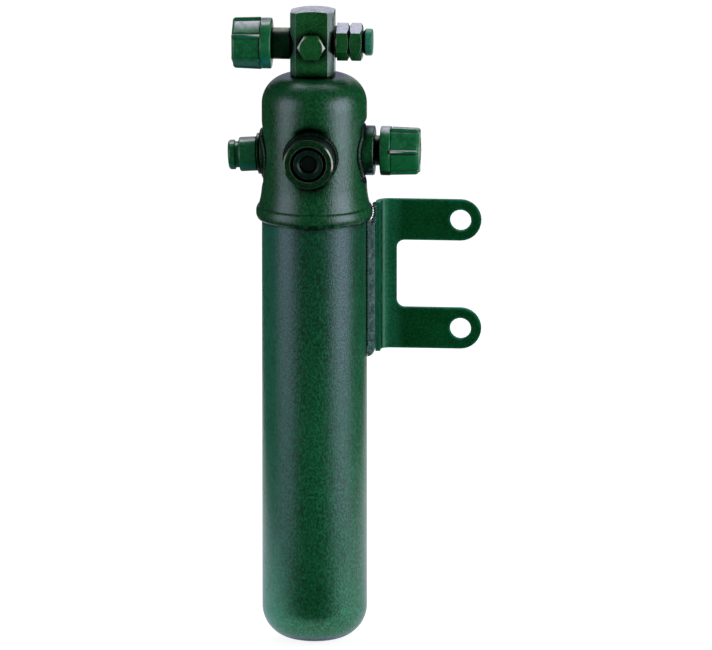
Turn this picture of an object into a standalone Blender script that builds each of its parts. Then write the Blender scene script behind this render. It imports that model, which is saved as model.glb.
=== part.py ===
# Air conditioning drier: a steel can with a bell head, a connection block and a two-eared bracket.
# Metres, +Z up. The origin is on the bracket's mounting face. +X runs to the ears, +Y out of that face.

import math

import bmesh
import bpy
from mathutils import Vector

MM = 0.001

# Fits
SEAT_GAP = 0.3 * MM  # between pieces that seat on each other
BORE_GAP = 0.3 * MM  # around what passes through a bore

# Smoothness
BODY_STEPS = 40
SMALL_STEPS = 20
BORE_STEPS = 16
RING_STEPS = 28
ROD_SIDES = 6
SHARP_ANGLE = math.radians(35)
MERGE_DISTANCE = 0.001 * MM

# Can, its heights measured from its lowest point
CAN_RADIUS = 30.0 * MM
CAN_WALL = 2.0 * MM
CAN_KNUCKLE = 19.0 * MM
CAN_CROWN = 70.0 * MM
CAN_HEIGHT = 256.5 * MM
DOME_STEPS = 7
DOME_STEPS_INSIDE = 4

# Head, its heights measured from the can's mouth
HEAD_RADIUS = CAN_RADIUS
HEAD_WALL = 2.5 * MM
HEAD_HEIGHT = 73.25 * MM
HEAD_SHOULDER = 16.5 * MM
SKIRT_OVERLAP = 10.1 * MM
SKIRT_LIP = 1.2 * MM
BEAD_REACH = 3.3 * MM
BEAD_TOP = 2.0 * MM
FLARE_FOOT_REACH = 1.8 * MM
FLARE_HEIGHT = 10.25 * MM
FLARE_STEPS = 3
BEAD_STEPS = 5
SHOULDER_STEPS = 5
SHOULDER_STEPS_INSIDE = 3
LEVEL_SPACING = 1.2 * MM

# Side ports: heights above the can's mouth, flats pressed in the head, bosses
PORT_HEIGHT = 29.75 * MM
SWITCH_HEIGHT = 27.1 * MM
SWITCH_DROOP = math.radians(3.5)  # the switch port points a little downwards
PAD_HALF_HEIGHT = 15.2 * MM
PAD_RUN = 3.0 * MM
INLET_PAD_DEPTH = 2.3 * MM
SIGHT_PAD_DEPTH = 1.2 * MM
SWITCH_PAD_DEPTH = 1.1 * MM
BOSS_RADIUS = 14.2 * MM
BOSS_BORE = 9.3 * MM
BOSS_EDGE = 0.8 * MM
INLET_BOSS_REACH = 4.6 * MM
SIGHT_BOSS_REACH = 5.1 * MM
SWITCH_BOSS_REACH = 0.15 * MM
SWITCH_BOSS_RADIUS = 13.0 * MM
SHANK_LENGTH = 8.0 * MM

# Sight glass
SIGHT_BODY_HEIGHT = 8.8 * MM
SIGHT_BEVEL = 1.0 * MM
SIGHT_GROOVE_RADIUS = 11.0 * MM
SIGHT_GROOVE_DEPTH = 2.4 * MM
SIGHT_RING_RADIUS = 10.0 * MM
SIGHT_RING_PROUD = 0.3 * MM
SIGHT_WINDOW = 5.0 * MM
SIGHT_LENS_RADIUS = 6.8 * MM
SIGHT_LENS_THICKNESS = 2.4 * MM
SIGHT_LENS_CROWN = 0.9 * MM
SIGHT_SEAL_WIRE = 1.2 * MM
SIGHT_BORE = 4.0 * MM
SIGHT_RING_ROUND = 0.8 * MM
SIGHT_LENS_STEPS = 3

# Threaded stubs and their six-sided caps
STUB_NECK = 8.6 * MM
STUB_THREAD = 7.5 * MM
STUB_BORE = 5.0 * MM
STUB_COLLAR = 2.8 * MM
STUB_REACH_IN_CAP = 18.0 * MM
OUTLET_NECK = 9.0 * MM
OUTLET_NECK_LENGTH = 10.3 * MM
CAP_LENGTH = 22.2 * MM
CAP_FLATS = 25.2 * MM
CAP_COLLAR_RADIUS = 14.5 * MM
CAP_COLLAR_LENGTH = 6.0 * MM
CAP_END_ROUND = 2.0 * MM
CAP_DRAFT = 0.5 * MM
CAP_RIB_WIDTH = 1.6 * MM
CAP_RIB_HEIGHT = 0.7 * MM
CAP_END_WALL = 3.0 * MM
CAP_EDGE = 0.6 * MM
CAP_RIB_SINK = 0.8 * MM  # how far a rib's foot lies inside its corner
CAP_END_STEPS = 3
CAP_RIB_ANGLE = math.radians(2)  # half of a rib's crest on the collar
CAP_ARC_ANGLE = math.radians(12)  # from a rib's middle to the collar's round part
THREAD_LEAD = 0.8 * MM
INLET_CAP_TURN = math.radians(-8)
OUTLET_CAP_TURN = math.radians(27)

# Switch port and its cap
SWITCH_FLANGE_RADIUS = 11.8 * MM
SWITCH_FLANGE_LENGTH = 1.9 * MM
SWITCH_THREAD = 6.5 * MM
SWITCH_THREAD_LENGTH = 9.5 * MM
SWITCH_BORE = 3.0 * MM
SWITCH_SKIRT_RADIUS = 9.8 * MM
SWITCH_SKIRT_LENGTH = 10.1 * MM
SWITCH_GROOVE_RADIUS = 7.5 * MM
SWITCH_GROOVE_LENGTH = 2.4 * MM
SWITCH_KNOB_RADIUS = 8.5 * MM
SWITCH_KNOB_LENGTH = 3.8 * MM
SWITCH_SEAL_WIRE = 1.4 * MM
SWITCH_EDGE = 0.5 * MM
SWITCH_KNOB_EDGE = 0.8 * MM
SWITCH_ROUND = 1.4 * MM

# Connection block
BLOCK_WIDTH = 25.0 * MM
BLOCK_DEPTH = 19.0 * MM
BLOCK_HEIGHT = 38.6 * MM
BLOCK_SHIFT = -0.8 * MM  # its middle lies this far from the can's axis
BLOCK_CHAMFER = 3.5 * MM
BLOCK_CROWN = 50.0 * MM
BLOCK_CROWN_STEPS = 4
BLOCK_PORT_HEIGHT = 17.5 * MM
BLOCK_SPIGOT_RADIUS = 9.0 * MM
BLOCK_SPIGOT_LENGTH = 5.5 * MM
BLOCK_PASSAGE = 3.6 * MM  # across the block
BLOCK_RISER = 2.4 * MM  # up from the tube
BLOCK_PLUG_PASSAGE = 1.9 * MM  # back from the plug
BLOCK_BORE_DEPTH = 6.6 * MM
BLOCK_SHANK_LENGTH = 5.6 * MM
TUBE_SEAT_DEPTH = 6.0 * MM

# Hexagon plug and relief fitting
HEX_CHAMFER = math.radians(30)
HEX_FACE = 0.95  # the chamfer's circle against the width across flats
PLUG_FLATS = 14.0 * MM
PLUG_THICKNESS = 3.4 * MM
PLUG_SHANK = 5.0 * MM
WASHER_THICKNESS = 0.8 * MM
WASHER_RIM = 2.2 * MM
RELIEF_FLATS = 19.0 * MM
RELIEF_HEX_THICKNESS = 7.0 * MM
RELIEF_NUT_THICKNESS = 7.3 * MM
RELIEF_SHANK = 6.0 * MM
RELIEF_NOSE = 5.0 * MM
RELIEF_NOSE_REACH = 3.2 * MM
RELIEF_BORE = 2.2 * MM
RELIEF_CORE_LENGTH = 9.0 * MM
RELIEF_CAP_NECK = 6.3 * MM
RELIEF_CAP_RADIUS = 7.7 * MM
RELIEF_CAP_LENGTH = 5.3 * MM
RELIEF_WASHER_RADIUS = 9.2 * MM
RELIEF_CAP_TAPER = 1.6 * MM
RELIEF_CAP_EDGE = 0.3 * MM
RELIEF_CAP_ROUND = 0.8 * MM
RELIEF_TURN = math.radians(24)
RELIEF_RISE = 1.4 * MM  # of its axis over the outlet's

# Bracket and the bar behind it, heights below the can's mouth
BAR_FRONT = -1.0 * MM
BAR_DEPTH = 10.0 * MM
BAR_REACH = 4.6 * MM
BAR_TOP_DROP = 12.15 * MM
BAR_LENGTH = 78.3 * MM
BAR_CORNER = 5.0 * MM
BAR_EDGE = 0.8 * MM
SHEET = 2.8 * MM
SHEET_BEND = 5.0 * MM
EAR_SETBACK = 10.0 * MM
EAR_REACH = 57.0 * MM
EAR_HEIGHT = 23.7 * MM
WEB_WIDTH = 8.6 * MM
WEB_CORNER = 4.6 * MM
HOLE_PITCH = 63.1 * MM
HOLE_DROP = 43.6 * MM
HOLE_RADIUS = 6.1 * MM
BEND_STEPS = 6
EAR_STEPS = 8

# Inside
TUBE_RADIUS = 5.0 * MM
TUBE_WALL = 1.0 * MM
TUBE_FOOT_HEIGHT = 12.0 * MM
STRAINER_WALL = 1.0 * MM
STRAINER_HEIGHT = 22.0 * MM
STRAINER_BAND = 3.0 * MM
STRAINER_SLOT_HALF = 1.0 * MM
STRAINER_SLOTS = 4
PLATE_THICKNESS = 1.5 * MM
LOWER_PLATE_HEIGHT = 40.0 * MM
UPPER_PLATE_DROP = 6.0 * MM
PAD_THICKNESS = 8.0 * MM
PLATE_HOLE_RADIUS = 1.9 * MM
PLATE_HOLE_ROWS = ((6, 13.0 * MM), (10, 20.5 * MM))
SPRING_RADIUS = 12.0 * MM
SPRING_WIRE = 1.0 * MM
SPRING_TURNS = 6
SPRING_STEPS = 12
SPRING_SIDES = 5
SPRING_DEAD_PITCH = 2.4 * MM
PUNCH_SIDES = 6
SKIRT_SEAT_GAP = 0.06 * MM  # between the lower plate's skirt and the dished end, across

# Worked out from the sizes above
HEAD_TOP = CAN_HEIGHT + HEAD_HEIGHT
BLOCK_BASE = HEAD_TOP + SEAT_GAP
BLOCK_PORTS = BLOCK_BASE + BLOCK_PORT_HEIGHT
PORTS = CAN_HEIGHT + PORT_HEIGHT
SWITCH_PORT = CAN_HEIGHT + SWITCH_HEIGHT
FLANGE_INSIDE = CAN_RADIUS + BAR_REACH + SEAT_GAP
WEB_EDGE = FLANGE_INSIDE + SHEET + WEB_WIDTH
EAR_FRONT = BAR_FRONT + EAR_SETBACK
HOLE_X = FLANGE_INSIDE + SHEET + EAR_REACH - EAR_HEIGHT / 2
HOLE_MIDDLE = CAN_HEIGHT - HOLE_DROP
BRACKET_TOP = HOLE_MIDDLE + (HOLE_PITCH + EAR_HEIGHT) / 2
BRACKET_FOOT = HOLE_MIDDLE - (HOLE_PITCH + EAR_HEIGHT) / 2
MOUNT_X = WEB_EDGE - WEB_CORNER / 4
MOUNT_POINT = Vector((MOUNT_X, EAR_FRONT + SHEET, HOLE_MIDDLE))
CAN_INSIDE = CAN_RADIUS - CAN_WALL
OPEN_PAST = 2 * MM  # how far a cutter runs past the face that it opens


def clear_scene():
    for thing in list(bpy.data.objects):
        bpy.data.objects.remove(thing, do_unlink=True)


def principled(name, colour, roughness, metallic):
    material = bpy.data.materials.new(name)
    material.use_nodes = True
    shader = material.node_tree.nodes["Principled BSDF"]
    shader.inputs["Base Color"].default_value = (*colour, 1.0)
    shader.inputs["Roughness"].default_value = roughness
    shader.inputs["Metallic"].default_value = metallic
    return material


def empty(name, parent=None, location=(0, 0, 0), outward=None):
    """An empty whose +Z points outward: pieces under it are turned about that axis."""
    holder = bpy.data.objects.new(name, None)
    bpy.context.collection.objects.link(holder)
    holder.parent = parent
    holder.location = location
    if outward is not None:
        holder.rotation_euler = Vector(outward).to_track_quat("Z", "Y").to_euler()
    return holder


def finish(mesh_builder, name, parent, material):
    """Turns a bmesh into an object with outward faces and smooth round sides."""
    bmesh.ops.remove_doubles(mesh_builder, verts=mesh_builder.verts, dist=MERGE_DISTANCE)
    bmesh.ops.recalc_face_normals(mesh_builder, faces=mesh_builder.faces)
    mesh = bpy.data.meshes.new(name)
    mesh_builder.to_mesh(mesh)
    mesh_builder.free()
    mesh.shade_smooth()
    mesh.set_sharp_from_angle(angle=SHARP_ANGLE)
    thing = bpy.data.objects.new(name, mesh)
    bpy.context.collection.objects.link(thing)
    thing.parent = parent
    if material is not None:
        mesh.materials.append(material)
    return thing


def rounded(corners, arc_steps=4):
    """A closed outline of (x, y, radius) corners, each with a radius drawn as an arc."""
    outline = []
    for index, (x, y, radius) in enumerate(corners):
        corner = Vector((x, y))
        back = Vector(corners[index - 1][:2]) - corner
        ahead = Vector(corners[(index + 1) % len(corners)][:2]) - corner
        if radius == 0:
            outline.append(corner)
            continue
        half_angle = back.angle(ahead) / 2
        room = min(back.length, ahead.length) * 0.999
        tangent = min(radius / math.tan(half_angle), room)
        radius = tangent * math.tan(half_angle)
        middle = (back.normalized() + ahead.normalized()).normalized()
        centre = corner + middle * (radius / math.sin(half_angle))
        start = corner + back.normalized() * tangent - centre
        sweep = start.angle_signed(corner + ahead.normalized() * tangent - centre)
        for step in range(arc_steps + 1):
            turn = -sweep * step / arc_steps
            spoke = Vector((
                start.x * math.cos(turn) - start.y * math.sin(turn),
                start.x * math.sin(turn) + start.y * math.cos(turn),
            ))
            outline.append(centre + spoke)
    return [(point.x, point.y) for point in outline]


def turned(name, outline, parent, material=None, steps=SMALL_STEPS):
    """Spins a closed (radius, height) outline about the parent's Z axis."""
    builder = bmesh.new()
    corners = [builder.verts.new((radius, 0, height)) for radius, height in outline]
    edges = [
        builder.edges.new((corners[index - 1], corner))
        for index, corner in enumerate(corners)
        if corners[index - 1].co.x > 0 or corner.co.x > 0
    ]
    bmesh.ops.spin(
        builder, geom=corners + edges, cent=(0, 0, 0), axis=(0, 0, 1), dvec=(0, 0, 0),
        angle=math.tau, steps=steps, use_merge=False, use_normal_flip=False, use_duplicate=False,
    )
    return finish(builder, name, parent, material)


def washer_shape(name, inner, outer, foot, thickness, parent, material):
    corners = [(inner, foot), (outer, foot), (outer, foot + thickness), (inner, foot + thickness)]
    return turned(name, corners, parent, material)


def seal_ring(name, middle, wire, height, parent, material):
    """A ring of round section."""
    section = []
    for side in range(ROD_SIDES):
        angle = math.tau * side / ROD_SIDES
        section.append((middle + wire / 2 * math.cos(angle), height + wire / 2 * math.sin(angle)))
    return turned(name, section, parent, material)


def lofted(name, rings, parent, material=None, closed=False):
    """Skins rings of equal point counts. The ends are filled, or joined to each other if closed."""
    builder = bmesh.new()
    rows = [[builder.verts.new(point) for point in ring] for ring in rings]
    last = len(rows) if closed else len(rows) - 1
    for index in range(last):
        lower, upper = rows[index], rows[(index + 1) % len(rows)]
        for side in range(len(lower)):
            ahead = (side + 1) % len(lower)
            builder.faces.new((lower[side], lower[ahead], upper[ahead], upper[side]))
    bmesh.ops.triangulate(builder, faces=builder.faces)
    if not closed:
        builder.faces.new(list(reversed(rows[0])))
        builder.faces.new(rows[-1])
    return finish(builder, name, parent, material)


def extruded(name, outline, start, end, axis, parent, material=None):
    """Draws an outline out along an axis: "Z" takes it as (x, y), "Y" as (x, z)."""
    places = {"Z": lambda a, b, c: (a, b, c), "Y": lambda a, b, c: (a, c, b)}
    rings = [[places[axis](a, b, level) for a, b in outline] for level in (start, end)]
    return lofted(name, rings, parent, material)


def hexagon(across_flats, turn=0.0):
    radius = across_flats / math.sqrt(3)
    return [
        (radius * math.cos(turn + math.tau * side / 6), radius * math.sin(turn + math.tau * side / 6))
        for side in range(6)
    ]


def combine(target, tool, operation="DIFFERENCE", solver="EXACT"):
    """Adds a boolean whose tool stays in the scene as a hidden guide."""
    modifier = target.modifiers.new(tool.name, "BOOLEAN")
    modifier.operation = operation
    modifier.object = tool
    modifier.solver = solver
    tool.hide_render = True
    tool.display_type = "WIRE"


def hex_piece(name, across_flats, foot, thickness, parent, material, turn=0.0, both_ends=True):
    """A hexagon whose corners are turned off at 30 degrees, as on a nut."""
    face_radius = across_flats / 2 * HEX_FACE
    reach = across_flats / math.sqrt(3) + SEAT_GAP
    drop = (reach - face_radius) * math.tan(HEX_CHAMFER)
    top = foot + thickness
    piece = extruded(name, hexagon(across_flats, turn), foot, top, "Z", parent, material)
    if both_ends:
        outline = [(0, foot), (face_radius, foot), (reach, foot + drop)]
    else:
        outline = [(0, foot - OPEN_PAST), (reach, foot - OPEN_PAST)]
    outline += [(reach, top - drop), (face_radius, top), (0, top)]
    combine(piece, turned(name + "_corner_guide", outline, parent), "INTERSECT")
    return piece


def drill(target, radius, start, end, parent, steps=BORE_STEPS, solver="EXACT"):
    """Bores the target with a cylinder along the parent's Z axis."""
    name = f"{target.name}_{parent.name}_drill_{len(target.modifiers)}"
    outline = [(0, start), (radius, start), (radius, end), (0, end)]
    tool = turned(name, outline, parent, steps=steps)
    tool.rotation_euler.z = math.pi / steps / 2
    combine(target, tool, solver=solver)


# Can

def dome_points(radius, knuckle, crown, foot, steps):
    """The outside of a dished end: crown arc from the middle, then knuckle arc up to the side."""
    ring = radius - knuckle
    rise = crown - math.sqrt((crown - knuckle) ** 2 - ring ** 2)
    meet = math.asin(ring / (crown - knuckle))
    points = [(0.0, foot)]
    for step in range(1, 3):
        angle = meet * step / 2
        points.append((crown * math.sin(angle), foot + crown - crown * math.cos(angle)))
    for step in range(1, steps + 1):
        angle = meet + (math.pi / 2 - meet) * step / steps
        points.append((ring + knuckle * math.sin(angle), foot + rise - knuckle * math.cos(angle)))
    return points


def canister(axis, paint):
    """Drawn in one piece: domed end, straight wall, open mouth."""
    outside = dome_points(CAN_RADIUS, CAN_KNUCKLE, CAN_CROWN, 0.0, DOME_STEPS)
    inside = dome_points(
        CAN_INSIDE, CAN_KNUCKLE - CAN_WALL, CAN_CROWN - CAN_WALL, CAN_WALL, DOME_STEPS_INSIDE,
    )
    mouth = [(CAN_RADIUS, CAN_HEIGHT), (CAN_INSIDE, CAN_HEIGHT)]
    return turned("canister", outside + mouth + inside[::-1], axis, paint, BODY_STEPS)


# Head

def port_pads():
    """Each port's direction, height and the distance of its pressed flat from the axis."""
    return (
        (0.0, PORTS, HEAD_RADIUS - INLET_PAD_DEPTH),
        (-math.pi / 2, PORTS, HEAD_RADIUS - SIGHT_PAD_DEPTH),
        (math.pi, SWITCH_PORT, HEAD_RADIUS - SWITCH_PAD_DEPTH),
    )


def flattened(radius, height, angle, offset):
    """The head's radius where the flats of the ports take some of it away."""
    for direction, level, distance in port_pads():
        facing = math.cos(angle - direction)
        past_end = max(0.0, abs(height - level) - PAD_HALF_HEIGHT)
        reach = distance + offset + past_end * (HEAD_RADIUS - distance) / PAD_RUN
        if facing > 0.5:  # the side of the head that the port is on
            radius = min(radius, reach / facing)
    return radius


def head_ring(radius, height, offset):
    angles = [math.tau * (step + 0.5) / BODY_STEPS for step in range(BODY_STEPS)]
    return [
        (
            flattened(radius + offset, height, angle, offset) * math.cos(angle),
            flattened(radius + offset, height, angle, offset) * math.sin(angle),
            height,
        )
        for angle in angles
    ]


def side_levels():
    """Heights of the rings between flare and shoulder, with one at each edge of each flat."""
    shoulder_foot = HEAD_TOP - HEAD_SHOULDER
    flare_top = CAN_HEIGHT + FLARE_HEIGHT
    levels = set()
    for _, level, _ in port_pads():
        for reach in (PAD_HALF_HEIGHT, PAD_HALF_HEIGHT + PAD_RUN):
            levels.update((level - reach, level + reach))
    kept = [flare_top]
    for level in sorted(levels):
        if kept[-1] + LEVEL_SPACING < level < shoulder_foot - LEVEL_SPACING:
            kept.append(level)
    return kept + [shoulder_foot]


def shoulder_points(radius, corner, top, steps=SHOULDER_STEPS):
    """The quarter arc from the side to the flat top."""
    points = []
    for step in range(1, steps + 1):
        angle = math.pi / 2 * step / steps
        points.append((radius - corner + corner * math.cos(angle), top - corner + corner * math.sin(angle)))
    return points


def skirt_points():
    """Rolled bead and concave flare of the skirt, from its lip upwards."""
    foot = CAN_HEIGHT - SKIRT_OVERLAP
    top = CAN_HEIGHT - BEAD_TOP
    lip = CAN_RADIUS + SKIRT_LIP
    middle = (foot + top) / 2
    half = (top - foot) / 2
    crest = CAN_RADIUS + BEAD_REACH
    points = []
    for step in range(BEAD_STEPS + 1):
        share = -1 + 2 * step / BEAD_STEPS
        edge = lip if share < 0 else CAN_RADIUS + FLARE_FOOT_REACH
        points.append((edge + (crest - edge) * math.sqrt(1 - share * share), middle + half * share))
    flare_reach = CAN_RADIUS + FLARE_FOOT_REACH - HEAD_RADIUS
    for step in range(1, FLARE_STEPS):
        share = step / FLARE_STEPS
        height = top + (BEAD_TOP + FLARE_HEIGHT) * share
        points.append((HEAD_RADIUS + flare_reach * (1 - share) ** 2, height))
    return points


def head_form(offset, axis):
    """The head's outer form as a solid guide, grown by an offset, from the flare up."""
    rings = [head_ring(HEAD_RADIUS, level, offset) for level in side_levels()]
    rings += [head_ring(r, z, offset) for r, z in shoulder_points(HEAD_RADIUS, HEAD_SHOULDER, HEAD_TOP)]
    return lofted("head_form_guide", rings, axis)


def head(axis, ports, paint):
    """Bell of even wall: skirt over the can's mouth, flats for the ports, round shoulder."""
    skirt_bore = CAN_RADIUS + SEAT_GAP
    inside = HEAD_RADIUS - HEAD_WALL
    seat = CAN_HEIGHT + SEAT_GAP
    rings = [head_ring(r, z, 0.0) for r, z in skirt_points()]
    rings += [head_ring(HEAD_RADIUS, level, 0.0) for level in side_levels()]
    rings += [head_ring(r, z, 0.0) for r, z in shoulder_points(HEAD_RADIUS, HEAD_SHOULDER, HEAD_TOP)]
    rings += [head_ring(BLOCK_SPIGOT_RADIUS + BORE_GAP, HEAD_TOP, 0.0)]
    roof = HEAD_TOP - HEAD_WALL
    rings += [head_ring(BLOCK_SPIGOT_RADIUS + BORE_GAP, roof, 0.0)]
    inner_shoulder = shoulder_points(inside, HEAD_SHOULDER - HEAD_WALL, roof, SHOULDER_STEPS_INSIDE)
    rings += [head_ring(r, z, 0.0) for r, z in reversed(inner_shoulder)]
    rings += [head_ring(HEAD_RADIUS, level, -HEAD_WALL) for level in reversed(side_levels()[1:])]
    rings += [head_ring(inside, seat, 0.0), head_ring(skirt_bore, seat, 0.0)]
    rings += [head_ring(skirt_bore, CAN_HEIGHT - SKIRT_OVERLAP, 0.0)]
    shell = lofted("head", rings, axis, paint, closed=True)
    for port in ports:
        drill(shell, BOSS_BORE, HEAD_RADIUS / 2, HEAD_RADIUS + OPEN_PAST, port, SMALL_STEPS, "MANIFOLD")
    return shell


def boss(name, radius, reach, port, form, paint):
    """Weld boss, its foot cut to the head's own form with the seat gap."""
    face = HEAD_RADIUS + reach
    outline = [
        (BOSS_BORE, HEAD_RADIUS / 2), (radius, HEAD_RADIUS / 2), (radius, face - BOSS_EDGE),
        (radius - BOSS_EDGE, face), (BOSS_BORE, face),
    ]
    ring = turned(name, outline, port, paint, RING_STEPS)
    combine(ring, form)
    return ring


# Sight glass

def sight_glass(port, paint, glass, rubber):
    seat = HEAD_RADIUS + SIGHT_BOSS_REACH + SEAT_GAP
    face = seat + SIGHT_BODY_HEIGHT
    floor = face - SIGHT_GROOVE_DEPTH
    pocket = floor - SIGHT_LENS_THICKNESS - SIGHT_SEAL_WIRE - 2 * SEAT_GAP
    shank = BOSS_BORE - BORE_GAP
    lens_bore = SIGHT_LENS_RADIUS + BORE_GAP
    body = [
        (SIGHT_BORE, seat - SHANK_LENGTH), (shank, seat - SHANK_LENGTH), (shank, seat),
        (BOSS_RADIUS, seat), (BOSS_RADIUS, face - SIGHT_BEVEL), (BOSS_RADIUS - SIGHT_BEVEL, face),
        (SIGHT_GROOVE_RADIUS, face), (SIGHT_GROOVE_RADIUS, floor), (lens_bore, floor),
        (lens_bore, pocket), (SIGHT_BORE, pocket),
    ]
    turned("sight_body", body, port, paint, RING_STEPS)
    seal_middle = (SIGHT_BORE + SIGHT_LENS_RADIUS) / 2
    seal_height = pocket + SEAT_GAP + SIGHT_SEAL_WIRE / 2
    seal_ring("sight_seal", seal_middle, SIGHT_SEAL_WIRE, seal_height, port, rubber)
    lens_foot = pocket + SIGHT_SEAL_WIRE + 2 * SEAT_GAP
    rim = floor
    crown_foot = rim + SEAT_GAP
    window = SIGHT_WINDOW - BORE_GAP
    lens = [(0, lens_foot), (SIGHT_LENS_RADIUS, lens_foot), (SIGHT_LENS_RADIUS, rim), (window, rim)]
    lens += [(window, crown_foot)]
    for step in reversed(range(SIGHT_LENS_STEPS)):
        share = step / SIGHT_LENS_STEPS
        lens.append((window * share, crown_foot + SIGHT_LENS_CROWN * (1 - share * share)))
    turned("sight_lens", lens, port, glass)
    ring_foot = floor + SEAT_GAP
    top = face + SIGHT_RING_PROUD
    ring = rounded([
        (SIGHT_WINDOW, ring_foot, 0), (SIGHT_RING_RADIUS, ring_foot, 0),
        (SIGHT_RING_RADIUS, top, SIGHT_RING_ROUND), (SIGHT_WINDOW, top, SIGHT_RING_ROUND),
    ], 2)
    turned("sight_ring", ring, port, paint)


# Threaded stubs, caps and the switch port

def threaded_stub(name, shank, shank_length, neck, neck_length, seat, port, paint):
    """Shank in the bore behind, plain neck, then the threaded end that the cap covers."""
    shoulder = seat + neck_length
    tip = shoulder + STUB_REACH_IN_CAP
    outline = [
        (STUB_BORE, seat - shank_length), (shank, seat - shank_length), (shank, seat), (neck, seat),
        (neck, shoulder), (STUB_THREAD, shoulder), (STUB_THREAD, tip - THREAD_LEAD),
        (STUB_THREAD - THREAD_LEAD, tip), (STUB_BORE, tip),
    ]
    return turned(name, outline, port, paint)


def cap_ring(flats, rib, height, turn, round_radius=None):
    """One ring of the cap: a hexagon with a raised rib along each corner, or a circle with the ribs."""
    corner = flats / math.sqrt(3)
    foot = corner - CAP_RIB_SINK
    crest = corner + rib
    foot_half = CAP_RIB_SINK * math.sqrt(3)
    crest_half = CAP_RIB_WIDTH / 4
    ring = []
    for side in range(6):
        corner_angle = turn + math.tau * side / 6
        spokes = ((foot, -foot_half), (crest, -crest_half), (crest, crest_half), (foot, foot_half))
        for step, (out, across) in enumerate(spokes):
            if round_radius is not None:
                on_rib = step in (1, 2)
                angle = corner_angle + math.copysign(CAP_RIB_ANGLE if on_rib else CAP_ARC_ANGLE, step - 1.5)
                reach = round_radius + rib * on_rib
                ring.append((reach * math.cos(angle), reach * math.sin(angle), height))
                continue
            ring.append((
                out * math.cos(corner_angle) - across * math.sin(corner_angle),
                out * math.sin(corner_angle) + across * math.cos(corner_angle),
                height,
            ))
    return ring


def moulded_cap(name, seat, turn, port, plastic):
    """Six-sided dust cap with draft, a round collar at its mouth and ribs along its corners."""
    mouth = seat + SEAT_GAP
    tip = mouth + CAP_LENGTH
    collar = mouth + CAP_COLLAR_LENGTH
    rings = [
        cap_ring(CAP_FLATS, CAP_RIB_HEIGHT, mouth, turn, CAP_COLLAR_RADIUS - CAP_EDGE),
        cap_ring(CAP_FLATS, CAP_RIB_HEIGHT, mouth + CAP_EDGE, turn, CAP_COLLAR_RADIUS),
        cap_ring(CAP_FLATS, CAP_RIB_HEIGHT, collar - CAP_EDGE, turn, CAP_COLLAR_RADIUS),
        cap_ring(CAP_FLATS, CAP_RIB_HEIGHT, collar, turn),
    ]
    for step in range(CAP_END_STEPS + 1):
        angle = math.pi / 2 * step / CAP_END_STEPS
        inward = CAP_DRAFT + CAP_END_ROUND * (1 - math.cos(angle))
        height = tip - CAP_END_ROUND * (1 - math.sin(angle))
        rings.append(cap_ring(CAP_FLATS - 2 * inward, CAP_RIB_HEIGHT, height, turn))
    cap = lofted(name, rings, port, plastic)
    drill(cap, STUB_THREAD + BORE_GAP, mouth - OPEN_PAST, tip - CAP_END_WALL, port)
    return cap


def switch_port(port, paint, rubber, plastic):
    seat = HEAD_RADIUS + SWITCH_BOSS_REACH + SEAT_GAP
    flange = seat + SWITCH_FLANGE_LENGTH
    tip = flange + SWITCH_THREAD_LENGTH
    shank = BOSS_BORE - BORE_GAP
    body = [
        (SWITCH_BORE, seat - SHANK_LENGTH), (shank, seat - SHANK_LENGTH), (shank, seat),
        (SWITCH_FLANGE_RADIUS, seat), (SWITCH_FLANGE_RADIUS, flange - SWITCH_EDGE),
        (SWITCH_FLANGE_RADIUS - SWITCH_EDGE, flange), (SWITCH_THREAD, flange),
        (SWITCH_THREAD, tip), (SWITCH_BORE, tip),
    ]
    turned("switch_port", body, port, paint)
    bore = SWITCH_THREAD + BORE_GAP
    seal_middle = SWITCH_THREAD + BORE_GAP + SWITCH_SEAL_WIRE / 2
    seal_height = flange + SEAT_GAP + SWITCH_SEAL_WIRE / 2
    seal_ring("switch_seal", seal_middle, SWITCH_SEAL_WIRE, seal_height, port, rubber)
    mouth = flange + SEAT_GAP
    recess = mouth + SWITCH_SEAL_WIRE + SEAT_GAP
    recess_radius = seal_middle + SWITCH_SEAL_WIRE / 2 + BORE_GAP
    skirt = mouth + SWITCH_SKIRT_LENGTH
    groove = skirt + SWITCH_GROOVE_LENGTH
    knob = groove + SWITCH_KNOB_LENGTH
    bore_end = tip + 2 * SEAT_GAP
    cap = rounded([
        (0, bore_end, 0), (bore, bore_end, 0), (bore, recess, 0), (recess_radius, recess, 0),
        (recess_radius, mouth, 0), (SWITCH_SKIRT_RADIUS, mouth, SWITCH_EDGE),
        (SWITCH_SKIRT_RADIUS, skirt, SWITCH_ROUND), (SWITCH_GROOVE_RADIUS, skirt, 0),
        (SWITCH_GROOVE_RADIUS, groove, 0), (SWITCH_KNOB_RADIUS, groove, SWITCH_KNOB_EDGE),
        (SWITCH_KNOB_RADIUS, knob, SWITCH_ROUND), (0, knob, 0),
    ], 2)
    turned("switch_cap", cap, port, plastic)


# Connection block

def block_outline():
    """Plan with chamfered upright edges, its middle beside the can's axis."""
    half_width, half_depth, cut = BLOCK_WIDTH / 2, BLOCK_DEPTH / 2, BLOCK_CHAMFER
    quarter = [(half_width, half_depth - cut), (half_width - cut, half_depth)]
    plan = quarter + [(-x, y) for x, y in reversed(quarter)]
    plan += [(-x, -y) for x, y in plan]
    return [(x + BLOCK_SHIFT, y) for x, y in plan]


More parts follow.
